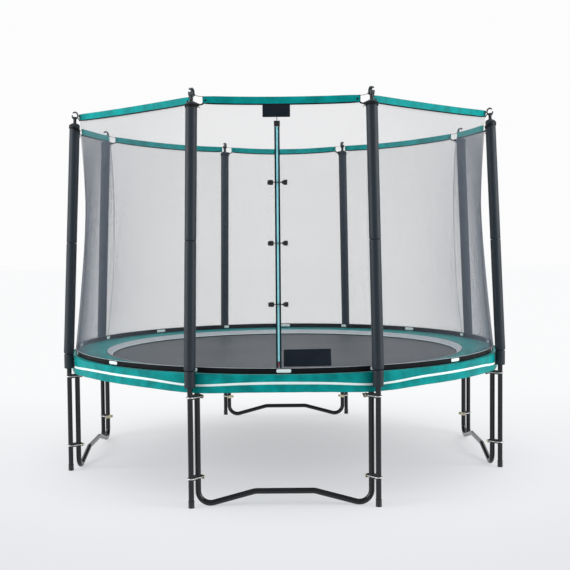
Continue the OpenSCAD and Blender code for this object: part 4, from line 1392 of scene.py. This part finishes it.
class TRAMPOLINE_OT_net(PieceOperator, bpy.types.Operator):
    """Add the eight net panels"""

    bl_idname = "trampoline.net"
    bl_label = "Net panels"

    def execute(self, context):
        for index in range(PANELS):
            self.add_panel(context, index)
        return {"FINISHED"}

    @staticmethod
    def add_panel(context, index):
        """One panel, pulled to its corners, with slight creases."""
        sizes = context.scene.trampoline_net
        half = panel_half(index)
        tall = sizes.band_low - sizes.foot

        def place(u, v):
            azimuth = half * (2 * u - 1) * 0.9998
            corner = abs(2 * u - 1)
            across = band_distance(index) * math.tan(azimuth)
            radius = net_radius(index, azimuth, v) + corner_pull(index, across) * v * v
            drop = band_fall(index, across) * v
            crease = ripple(u * 26 + v * 3, v * 2.0, 40.0 + index) * (0.4 + corner**2) * math.sin(math.pi * v)
            pull = ripple(u * 60, v * 1.2, 60.0 + index) * v**4 * (1 - v) * 3
            edge = sizes.low_radius * half * (1 - corner)
            pleat = math.exp(-edge / 0.07) * math.sin(FULL_TURN * edge / 0.034) * (0.3 + 0.7 * v)
            shift = (1.8 * crease + 2.0 * pull + 2.2 * pleat) * MM
            height = sizes.foot + tall * v - drop
            return polar(radius + shift - 0.6 * MM, panel_azimuth(index) + azimuth, height)

        foot = 2 * half * sizes.low_radius
        bm = cloth(120, 56, place, foot, tall)
        name = f"net_panel_{index + 1}"
        piece = add_piece(name, bm, [look("net")], "frame", [f"net_{index + 1}"], 70)
        thicken(piece, 0.0004)


class TRAMPOLINE_OT_hem(PieceOperator, bpy.types.Operator):
    """Add the black hem round the net's foot and its white tabs"""

    bl_idname = "trampoline.hem"
    bl_label = "Net hem"

    def execute(self, context):
        sizes = context.scene.trampoline_net
        outer = sizes.low_radius + 0.0005
        tall = sizes.foot - sizes.hem_low
        round_length = FULL_TURN * outer

        def place(u, v):
            azimuth = FULL_TURN * u
            wave = 0.5 * MM * (ring_noise(azimuth, 20, v * 1.5, 81.0) - 1)
            roll = 0.6 * MM * (max(0, 1 - v / 0.12) + max(0, 1 - (1 - v) / 0.12))
            return polar(outer + wave - roll, azimuth, sizes.hem_low + tall * v)

        bm = cloth(480, 10, place, round_length, tall)
        hem = add_piece("hem", bm, [look("binding")], "frame", ["net_hem"], 60)
        thicken(hem, sizes.hem_thick)
        bm = bmesh.new()
        # Pale bead along the hem's top: a painted highlight where the top edge catches the light.
        highlight_bead = round_end(outer - 0.0014, sizes.foot - 0.0012, 0.0013, 0, 330, 11)
        put(bm, turned(highlight_bead, 256))
        painted_highlight = add_piece("hem_painted_highlight", bm, [look("silver")], "frame", (), 60)
        tabs = self.add_tabs(outer, sizes.hem_low + tall / 2)
        return {"FINISHED"}

    @staticmethod
    def add_tabs(outer, middle):
        """Stitched white tabs on both faces of the hem."""
        bm = bmesh.new()
        height, wide_tab, narrow_tab = 0.02, 0.084, 0.042
        places = [(panel_azimuth(k), wide_tab) for k in range(PANELS)]
        places += [(pole_azimuth(k), narrow_tab) for k in range(PANELS)]
        for azimuth, wide in places:
            for face_radius, sign in ((outer, 1), (outer - 0.003, -1)):
                tab = bmesh.new()
                bmesh.ops.create_grid(tab, x_segments=16, y_segments=6, size=0.5)
                for vert in tab.verts:
                    across, up = vert.co.x, vert.co.y
                    rounding = 1 - 0.10 * (2 * abs(up)) ** 4
                    angle_here = azimuth + across * wide * rounding / outer
                    puff = 1.5 * (1 - (2 * across) ** 8) * (1 - (2 * up) ** 6) + 0.2
                    vert.co = polar(face_radius + sign * puff * MM, angle_here, middle + up * height)
                rim = [edge for edge in tab.edges if edge.is_boundary]
                grown = bmesh.ops.extrude_edge_only(tab, edges=rim)
                for vert in new_verts(grown):
                    flat = Vector((vert.co.x, vert.co.y, 0)).normalized() * (face_radius - sign * 0.0002)
                    vert.co.x, vert.co.y = flat.x, flat.y
                bmesh.ops.holes_fill(tab, edges=[edge for edge in tab.edges if edge.is_boundary], sides=0)
                bmesh.ops.recalc_face_normals(tab, faces=tab.faces)
                put(bm, tab)
        return add_piece("white_tabs", bm, [look("white")], "frame", ["hem_tabs"], 50)


class TRAMPOLINE_OT_band(PieceOperator, bpy.types.Operator):
    """Add the band round the net's top"""

    bl_idname = "trampoline.band"
    bl_label = "Top band"

    def execute(self, context):
        sizes = context.scene.trampoline_net
        wide = sizes.band_top - sizes.band_low
        for index in range(PANELS):
            start, end = band_reach(index, -1), band_reach(index, 1)
            distance = band_distance(index)
            put_round = turn(panel_azimuth(index))

            def place(u, v, index=index, start=start, end=end, distance=distance, put_round=put_round):
                x = start + (end - start) * u
                near_end = max(0, 1 - min(x - start, end - x) / 0.09)
                pinch = 0.1 * near_end * near_end * (v - 0.5) * wide
                curl = 1.4 * near_end * math.sin(FULL_TURN * 2 * v)
                bulge = 0.9 * ripple(x * 11, v * 2, 90.0 + index) + curl
                out = min(1.9, max(-1.6, bulge)) * MM * math.sin(math.pi * min(1, max(0, v * 0.96 + 0.02)))
                height = sizes.band_low + wide * v - band_fall(index, x) - pinch
                away = distance + corner_pull(index, x) + 0.0004 + out
                return put_round @ Vector((x, -away, height))

            bm = cloth(90, 12, place, end - start, wide)
            for face in bm.faces:
                middle = turn(-panel_azimuth(index)) @ face.calc_center_median()
                if middle.z + band_fall(index, middle.x) < sizes.band_low + wide * 0.15:
                    face.material_index = 1
            name = f"band_{index + 1}"
            nodes = ["top_band"] if index == 0 else []
            piece = add_piece(name, bm, [look("teal"), look("binding")], "frame", nodes, 60)
            thicken(piece, 0.0016, 0)
            eyelets = self.add_eyelets(index, start, end, distance, put_round)
        return {"FINISHED"}

    @staticmethod
    def add_eyelets(index, start, end, distance, put_round):
        """Eyelets at the band's ends that the cords pass through."""
        sizes = bpy.context.scene.trampoline_net
        ring = round_end(0.0082, 0, 0.0024, 0, 315, 7)
        disc = [(0, -0.0018), (0.0066, -0.0018), (0.0066, 0.0018), (0, 0.0018)]
        inset = 0.018
        bm = bmesh.new()
        places = []
        height = (sizes.band_low + sizes.band_top) / 2
        for x in (start + inset, end - inset):
            spot = Vector((x, -distance - corner_pull(index, x) - 0.0004, height - band_fall(index, x)))
            places.append(put_round @ Matrix.Translation(spot) @ Matrix.Rotation(math.pi / 2, 4, "X"))
        put(bm, turned(ring, 24), places)
        put(bm, turned(disc, 24, False), places, 1)
        materials = [look("teal"), look("webbing")]
        return add_piece(f"band_eyelets_{index + 1}", bm, materials, "frame")


class TRAMPOLINE_OT_ties(PieceOperator, bpy.types.Operator):
    """Add the straps round the sleeve tops and the cords to the bands"""

    bl_idname = "trampoline.ties"
    bl_label = "Band ties"

    def execute(self, context):
        sizes = context.scene.trampoline_frame
        bm = bmesh.new()
        for index in range(PANELS):
            top = along_lean(sizes.pole_top)
            strap = lean_frame(index) @ Vector((0, 0, top - 0.023))
            hook = lean_frame(index) @ Vector((0, 0.0165, top + 0.045))
            inside = [lean_frame(index) @ Vector((x, 0.0135, top + 0.045)) for x in (-0.013, 0.013)]
            put(bm, wire(inside, 0.0022, 1))
            lowest = strap.z
            for side in (-1, 1):
                panel = (index + (side + 15) // 2) % PANELS
                lowest = min(lowest, self.add_corner(bm, index, panel, -side, strap, hook))
            self.add_wraps(bm, index, strap.z, lowest)
        self.add_short_cord(bm, context)
        add_piece("cords", bm, [look("webbing")], "frame", ["band_ties"], 60)
        return {"FINISHED"}

    @staticmethod
    def add_wraps(bm, index, high_side, low_side):
        """Cord wound round the sleeve's shoulder, lower on the side of the net."""
        radius = bpy.context.scene.trampoline_frame.sleeve_radius + 0.0018
        thick, rounds, pitch, steps = 0.0026, 4, 0.0044, 40
        for number in range(rounds):
            middle = (high_side + low_side) / 2 + (number - 1.5) * pitch
            swing = (high_side - low_side) / 2 + 0.0035 * math.sin(index * 2.1 + number * 1.7)
            phase = 0.5 * math.sin(index * 1.3 + number * 2.3)
            points = []
            for step in range(steps):
                around = FULL_TURN * step / steps
                height = along_lean(middle + swing * math.cos(around + phase))
                points.append(Vector((radius * math.sin(around), -radius * math.cos(around), height)))
            put(bm, wire(points, thick, 1, closed=True), [lean_frame(index)])

    def add_corner(self, bm, index, panel, side, strap, hook):
        """Ties one end of a band to a pole, and returns the height of its lowest tie."""
        sizes = bpy.context.scene.trampoline_net
        x = band_reach(panel, side) - side * 0.004
        place = turn(panel_azimuth(panel))
        drop = band_fall(panel, x)
        away = band_distance(panel) + corner_pull(panel, x) + 0.0004
        low_end = place @ Vector((x, -away, sizes.band_low + 0.004 - drop))
        high_end = place @ Vector((x, -away, sizes.band_top - 0.005 - drop))
        fall = corner_fall(panel, side)
        if fall > 0:
            middle = (low_end + high_end) / 2
            axis = lean_frame(index) @ Vector((0, 0, along_lean(middle.z)))
            self.add_tape(bm, low_end, axis)
            self.add_cord(bm, high_end, axis, 0.033)
            return middle.z
        if fall < 0:
            self.add_cord(bm, low_end, hook, 0.012)
        else:
            self.add_tape(bm, low_end, strap)
        self.add_cord(bm, high_end, hook, 0.012)
        return strap.z

    @staticmethod
    def add_knot(bm, spot, radius, seed):
        """Lumpy knot."""
        knot = bmesh.new()
        bmesh.ops.create_icosphere(knot, subdivisions=3, radius=radius)
        for vert in knot.verts:
            lump = vert.co / radius * 1.6
            vert.co *= 0.9 + 0.3 * noise.noise(Vector((lump.x, lump.y, lump.z + seed)))
        put(bm, knot, [Matrix.Translation(spot)])

    def add_cord(self, bm, start, centre, reach):
        """Doubled cord from an eyelet to a pole, knotted at both ends."""
        direction = (centre - start).normalized()
        stop = centre - direction * reach
        across = direction.cross(Vector((0, 0, 1))).normalized()
        points = []
        for step in range(9):
            t = step / 8
            points.append(start.lerp(stop, t) + Vector((0, 0, -0.002 * math.sin(math.pi * t))))
        for offset in (-0.0012, 0.0012):
            put(bm, wire([p + across * offset for p in points], 0.0013, 1))
        self.add_knot(bm, start, 0.0042, start.x * 9)
        self.add_knot(bm, stop, 0.0052, stop.y * 9)

    def add_tape(self, bm, start, centre):
        """Webbing tape from an eyelet to the strap round the sleeve, with a knot and a loose end."""
        direction = (centre - start).normalized()
        stop = centre - direction * 0.034
        upward = (Vector((0, 0, 1)) - direction * direction.z).normalized()
        outward = direction.cross(upward)
        tape = bmesh.new()
        bmesh.ops.create_grid(tape, x_segments=14, y_segments=2, size=0.5)
        for vert in tape.verts:
            t = vert.co.x + 0.5
            fold = math.sin(math.pi * t) * 0.9
            spread = upward * math.cos(fold) + outward * math.sin(fold)
            centre_line = start.lerp(stop, t) + Vector((0, 0, -0.003 * math.sin(math.pi * t)))
            vert.co = centre_line + spread * (vert.co.y * (0.008 + 0.007 * t))
        bmesh.ops.solidify(tape, geom=tape.faces[:], thickness=0.0016)
        bmesh.ops.recalc_face_normals(tape, faces=tape.faces)
        put(bm, tape)
        self.add_knot(bm, stop - direction * 0.002 + upward * 0.002, 0.0115, stop.x * 7)
        self.add_knot(bm, stop - direction * 0.013 - upward * 0.001, 0.0085, stop.y * 7)
        self.add_knot(bm, start, 0.0046, stop.y * 5)
        tail = [stop - direction * (0.006 + 0.004 * k) + Vector((0, 0, -0.0055 * k)) for k in range(5)]
        put(bm, wire(tail, 0.0021, 1))

    @staticmethod
    def add_short_cord(bm, context):
        """Cord between the zip cap and the band label."""
        door = context.scene.trampoline_door
        start = door.zip_top + door.cap_height - 0.004
        end = door_length() - door.label_height + 0.002
        points = [Vector((door.zip_x, -0.0026, start + (end - start) * k / 6)) for k in range(7)]
        put(bm, wire(points, 0.0019, 2), [door_frame()])


class TRAMPOLINE_OT_labels(PieceOperator, bpy.types.Operator):
    """Add the blank labels on the door panel"""

    bl_idname = "trampoline.labels"
    bl_label = "Blank labels"

    def execute(self, context):
        door = context.scene.trampoline_door
        top = door_length() - 0.0003
        wide, tall = door.label_width, door.label_height
        middle = (top + (top - tall)) / 2
        piece = self.add_label("blank_band_label", door.label_x, middle, wide, tall)
        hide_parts("band_label")
        wide, tall, middle = door.low_label_width, 0.098, 0.057
        piece = self.add_label("blank_net_label", door.low_label_x, middle, wide, tall, curved=True)
        return {"FINISHED"}

    @staticmethod
    def put_on_net(bm, curved):
        """Moves a flat label or its stitches, drawn as (x, -out, up), on to the door panel."""
        sizes = bpy.context.scene.trampoline_net
        if not curved:
            bmesh.ops.transform(bm, matrix=door_frame(), verts=bm.verts)
            return
        for vert in bm.verts:
            azimuth = vert.co.x / sizes.low_radius
            radius = net_radius(0, azimuth, vert.co.z / (sizes.band_low - sizes.foot))
            vert.co = polar(radius - vert.co.y, azimuth, sizes.foot + vert.co.z)

    def add_label(self, name, x, s, wide, tall, curved=False):
        """Coated label with rounded corners and a sewn edge, slightly wavy."""
        bm = bmesh.new()
        uv = bm.loops.layers.uv.new("Weave")
        bmesh.ops.create_grid(bm, x_segments=24, y_segments=12, size=0.5)
        for face in bm.faces:
            for loop in face.loops:
                loop[uv].uv = (loop.vert.co.x * wide, loop.vert.co.y * tall)
        for vert in bm.verts:
            across, up = vert.co.x, vert.co.y
            corner = 0.0015 * (2 * abs(across)) ** 14 * (2 * abs(up)) ** 14
            wave = 0.35 * MM * ripple(across * 5, up * 4, 5.0 + wide)
            vert.co = Vector((x + across * (wide - corner), -0.0017 + wave, s + up * (tall - corner)))
        self.put_on_net(bm, curved)
        sew = bmesh.new()
        inset, pitch = 0.0035, 0.0042
        places = []
        for row in (-1, 1):
            count = round((wide - 2 * inset) / pitch)
            for k in range(count + 1):
                along = -wide / 2 + inset + (wide - 2 * inset) * k / count
                places.append(Matrix.Translation((x + along, 0, s + row * (tall / 2 - inset))))
            count = round((tall - 2 * inset) / pitch)
            for k in range(1, count):
                along = -tall / 2 + inset + (tall - 2 * inset) * k / count
                spot = Matrix.Translation((x + row * (wide / 2 - inset), 0, s + along))
                places.append(spot @ Matrix.Rotation(math.pi / 2, 4, "Y"))
        put(sew, block((0.0028, 0.0005, 0.0006), (0, -0.0019, 0), 0.00015, 1), places)
        self.put_on_net(sew, curved)
        label = add_piece(name, bm, [look("label")], "frame")
        thicken(label, 0.0012)
        add_piece(name + "_stitches", sew, [look("webbing")], "frame")
        return label


class TRAMPOLINE_OT_zip(PieceOperator, bpy.types.Operator):
    """Add the zip tapes, teeth, cap, slider and pull"""

    bl_idname = "trampoline.zip"
    bl_label = "Door zip"

    def execute(self, context):
        door = context.scene.trampoline_door
        place = door_frame()
        self.add_tape(door, place)
        self.add_slider(door, place)
        self.add_pull(door, place)
        return {"FINISHED"}

    @staticmethod
    def add_tape(door, place):
        """Two woven tapes, interlocked teeth on a cord, and the moulded cap."""
        bm = bmesh.new()
        start, end = 0.0005, door.zip_top - 0.0005
        for side in (-1, 1):
            inner, outer = side * (door.teeth_half - 0.0006), side * door.zip_half
            x0, x1 = sorted((door.zip_x + inner, door.zip_x + outer))
            put(bm, span(x0, x1, -0.0017, -0.0004, start, end, 0.0004, 1), [place])
            seam = door.zip_x + side * (door.zip_half - 0.0016)
            edge = [Vector((seam, -0.0017, start + (end - start) * k)) for k in (0, 1)]
            put(bm, wire(edge, 0.0005, 0), [place])
        reach = door.teeth_half * 0.8
        core = span(door.zip_x - reach, door.zip_x + reach, -0.0021, -0.0003, start, end, 0.0005, 1)
        put(bm, core, [place], 1)
        pitch = 0.0034
        count = int((end - start) / pitch)
        for side in (-1, 1):
            tooth = block((0.0056, 0.0028, 0.0019), (door.zip_x + side * 0.0026, -0.0018, 0), 0.0004, 1)
            shift = 0.25 * side + 0.25
            heights = [start + 0.001 + (k + shift) * pitch for k in range(count)]
            put(bm, tooth, [place @ Matrix.Translation((0, 0, height)) for height in heights], 1)
        half, top = door.cap_width / 2, door.zip_top
        left, right = door.zip_x - half, door.zip_x + half
        cap = span(left, right, -0.0043, -0.0003, top, top + door.cap_height, 0.0016, 3)
        put(bm, cap, [place], 2)
        left, right = door.zip_x - half * 0.6, door.zip_x + half * 0.6
        rib = span(left, right, -0.0048, -0.004, top + 0.008, top + 0.0095, 0.0003, 1)
        put(bm, rib, [place @ Matrix.Translation((0, 0, k * 0.0075)) for k in range(3)], 2)
        materials = [look("tape"), look("teeth"), look("moulded")]
        add_piece("zip_chain", bm, materials, "frame", ["zip_tape"])

    @staticmethod
    def add_slider(door, place):
        """Slider body that narrows to its foot, with two lugs and a pin."""
        bm = bmesh.new()
        spot = place @ Matrix.Translation((door.zip_x, 0, 0))
        pin_height, tall = door.pull_pin, 0.024
        top = pin_height + 0.006
        part = span(-0.009, 0.009, -0.0074, -0.0036, top - tall, top, 0.0014, 3)
        for vert in part.verts:
            share = (top - vert.co.z) / tall
            vert.co.x *= 1 - 0.22 * share
        put(bm, part, [spot])
        put(bm, span(-0.0012, 0.0012, -0.0079, -0.0070, top - 0.021, top - 0.012, 0.0004, 1), [spot])
        for side in (-1, 1):
            x = side * 0.0063
            foot, head = pin_height - 0.0022, pin_height + 0.0022
            lug = span(x - 0.001, x + 0.001, -0.0121, -0.0069, foot, head, 0.0007, 3)
            put(bm, lug, [spot])
        ends = [Vector((x, -door.pin_out, pin_height)) for x in (-0.0078, 0.0078)]
        put(bm, wire(ends, 0.0012, 3), [spot])
        add_piece("slider_body", bm, [look("moulded")], "slider", ["zip_slider"])

    @staticmethod
    def add_pull(door, place):
        """Red pull with an eye, a body that narrows towards the eye, and grip ribs."""
        bm = bmesh.new()
        spot = place @ Matrix.Translation((door.zip_x, -door.pin_out, door.pull_pin))
        eye = turned([(0.00127, -0.005), (0.0022, -0.005), (0.0022, 0.005), (0.00127, 0.005)], 20)
        put(bm, eye, [spot @ Matrix.Rotation(math.pi / 2, 4, "Y")])
        tall = 0.03
        body = span(-0.0048, 0.0048, -0.0011, 0.0011, -tall, -0.0015, 0.0009, 3)
        for vert in body.verts:
            share = -vert.co.z / tall
            vert.co.x *= 0.78 + 0.22 * min(1, share * 1.6)
        put(bm, body, [spot])
        rib = block((0.0066, 0.0030, 0.0011), (0, 0, 0), 0.0004, 2)
        put(bm, rib, [spot @ Matrix.Translation((0, 0, -0.014 - 0.0032 * k)) for k in range(5)])
        add_piece("red_pull", bm, [look("pull")], "pull", ["zip_pull"])


class TRAMPOLINE_OT_buckles(PieceOperator, bpy.types.Operator):
    """Add the three buckles across the zip"""

    bl_idname = "trampoline.buckles"
    bl_label = "Door buckles"

    def execute(self, context):
        door = context.scene.trampoline_door
        sockets = bmesh.new()
        for number, name in enumerate(("low", "mid", "high")):
            height = door.buckle_low + number * door.buckle_step
            place = door_frame() @ Matrix.Translation((0, 0, height))
            self.add_socket(sockets, place)
            self.add_tongue(name, place)
        materials = [look("moulded"), look("webbing")]
        add_piece("socket_halves", sockets, materials, "frame", ["buckle_sockets"])
        return {"FINISHED"}

    @staticmethod
    def grooved(x0, x1, half, depth, groove, floor):
        """Rounded block whose outer face has a groove along X."""
        outline = [(-half, 0.0003), (half, 0.0003), (half, depth), (groove, depth), (groove, floor)]
        outline += [(-groove, floor), (-groove, depth), (-half, depth)]
        part = prism([(-out, up) for up, out in outline], x0, x1)
        round_edges(part, part.edges[:], 0.0012)
        return part

    def add_socket(self, bm, place):
        """Socket half with side windows and the strap that holds it to the net."""
        put(bm, self.grooved(-0.079, -0.055, 0.014, 0.0159, 0.0039, 0.0122), [place])
        for side in (-1, 1):
            cheek = block((0.013, 0.004, 0.0045), (-0.066, -0.0152, side * 0.0088), 0.0012, 2)
            put(bm, cheek, [place])
        bar = block((0.004, 0.012, 0.022), (-0.0805, -0.0075, 0), 0.0012, 2)
        put(bm, bar, [place])
        strap = span(-0.086, -0.052, -0.0018, -0.0002, -0.0115, 0.0115, 0.0004, 1)
        put(bm, strap, [place], 1)

    @staticmethod
    def add_tongue(name, place):
        """Tongue half: block, neck and the prong that lies in the socket."""
        bm = bmesh.new()
        put(bm, span(0.006, 0.030, -0.0160, -0.0003, -0.014, 0.014, 0.0022, 3), [place])
        put(bm, span(-0.001, 0.008, -0.0150, -0.0010, -0.0092, 0.0092, 0.0016, 2), [place])
        for step in range(4):
            rib = block((0.0014, 0.0016, 0.020), (0.0115 + step * 0.0042, -0.0161, 0), 0.0005, 2)
            put(bm, rib, [place])
        prong = span(-0.069, 0.001, -0.0157, -0.0127, -0.0035, 0.0035, 0.0009, 2)
        for vert in prong.verts:
            share = min(1, max(0, (-0.060 - vert.co.x) / 0.009))
            vert.co.z *= 1 - 0.4 * share
        put(bm, prong, [place])
        body = f"{name}_tongue"
        piece_name = f"{name}_tongue_half"
        add_piece(piece_name, bm, [look("moulded")], body, [f"buckle_{name}_tongue"])


class TRAMPOLINE_PT_panel(bpy.types.Panel):
    """Lists the operators in the sidebar"""

    bl_label = "Trampoline"
    bl_idname = "TRAMPOLINE_PT_panel"
    bl_space_type = "VIEW_3D"
    bl_region_type = "UI"
    bl_category = "Trampoline"

    def draw(self, context):
        for operator in OPERATORS:
            self.layout.operator(operator.bl_idname)


GROUPS = {
    "trampoline_frame": TrampolineFrame,
    "trampoline_mat": TrampolineMat,
    "trampoline_covers": TrampolineCovers,
    "trampoline_net": TrampolineNet,
    "trampoline_door": TrampolineDoor,
    "trampoline_colours": TrampolineColours,
    "trampoline_studio": TrampolineStudio,
}
OPERATORS = (
    TRAMPOLINE_OT_studio,
    TRAMPOLINE_OT_steel,
    TRAMPOLINE_OT_knobs,
    TRAMPOLINE_OT_feet,
    TRAMPOLINE_OT_pole_tops,
    TRAMPOLINE_OT_sleeves,
    TRAMPOLINE_OT_mat,
    TRAMPOLINE_OT_webbing,
    TRAMPOLINE_OT_rings,
    TRAMPOLINE_OT_springs,
    TRAMPOLINE_OT_pad,
    TRAMPOLINE_OT_border,
    TRAMPOLINE_OT_skirt,
    TRAMPOLINE_OT_straps,
    TRAMPOLINE_OT_net,
    TRAMPOLINE_OT_hem,
    TRAMPOLINE_OT_band,
    TRAMPOLINE_OT_ties,
    TRAMPOLINE_OT_labels,
    TRAMPOLINE_OT_zip,
    TRAMPOLINE_OT_buckles,
)
CLASSES = (*GROUPS.values(), *OPERATORS, TRAMPOLINE_PT_panel)


def register():
    """Registers the classes and puts the settings on the scene."""
    for cls in CLASSES:
        bpy.utils.register_class(cls)
    for name, group in GROUPS.items():
        setattr(bpy.types.Scene, name, PointerProperty(type=group))


def unregister():
    """Takes the settings and the classes away."""
    for name in GROUPS:
        delattr(bpy.types.Scene, name)
    for cls in reversed(CLASSES):
        bpy.utils.unregister_class(cls)


def main():
    """Runs every operator in order."""
    register()
    for operator in OPERATORS:
        family, action = operator.bl_idname.split(".")
        getattr(getattr(bpy.ops, family), action)()


if __name__ == "__main__":
    main()
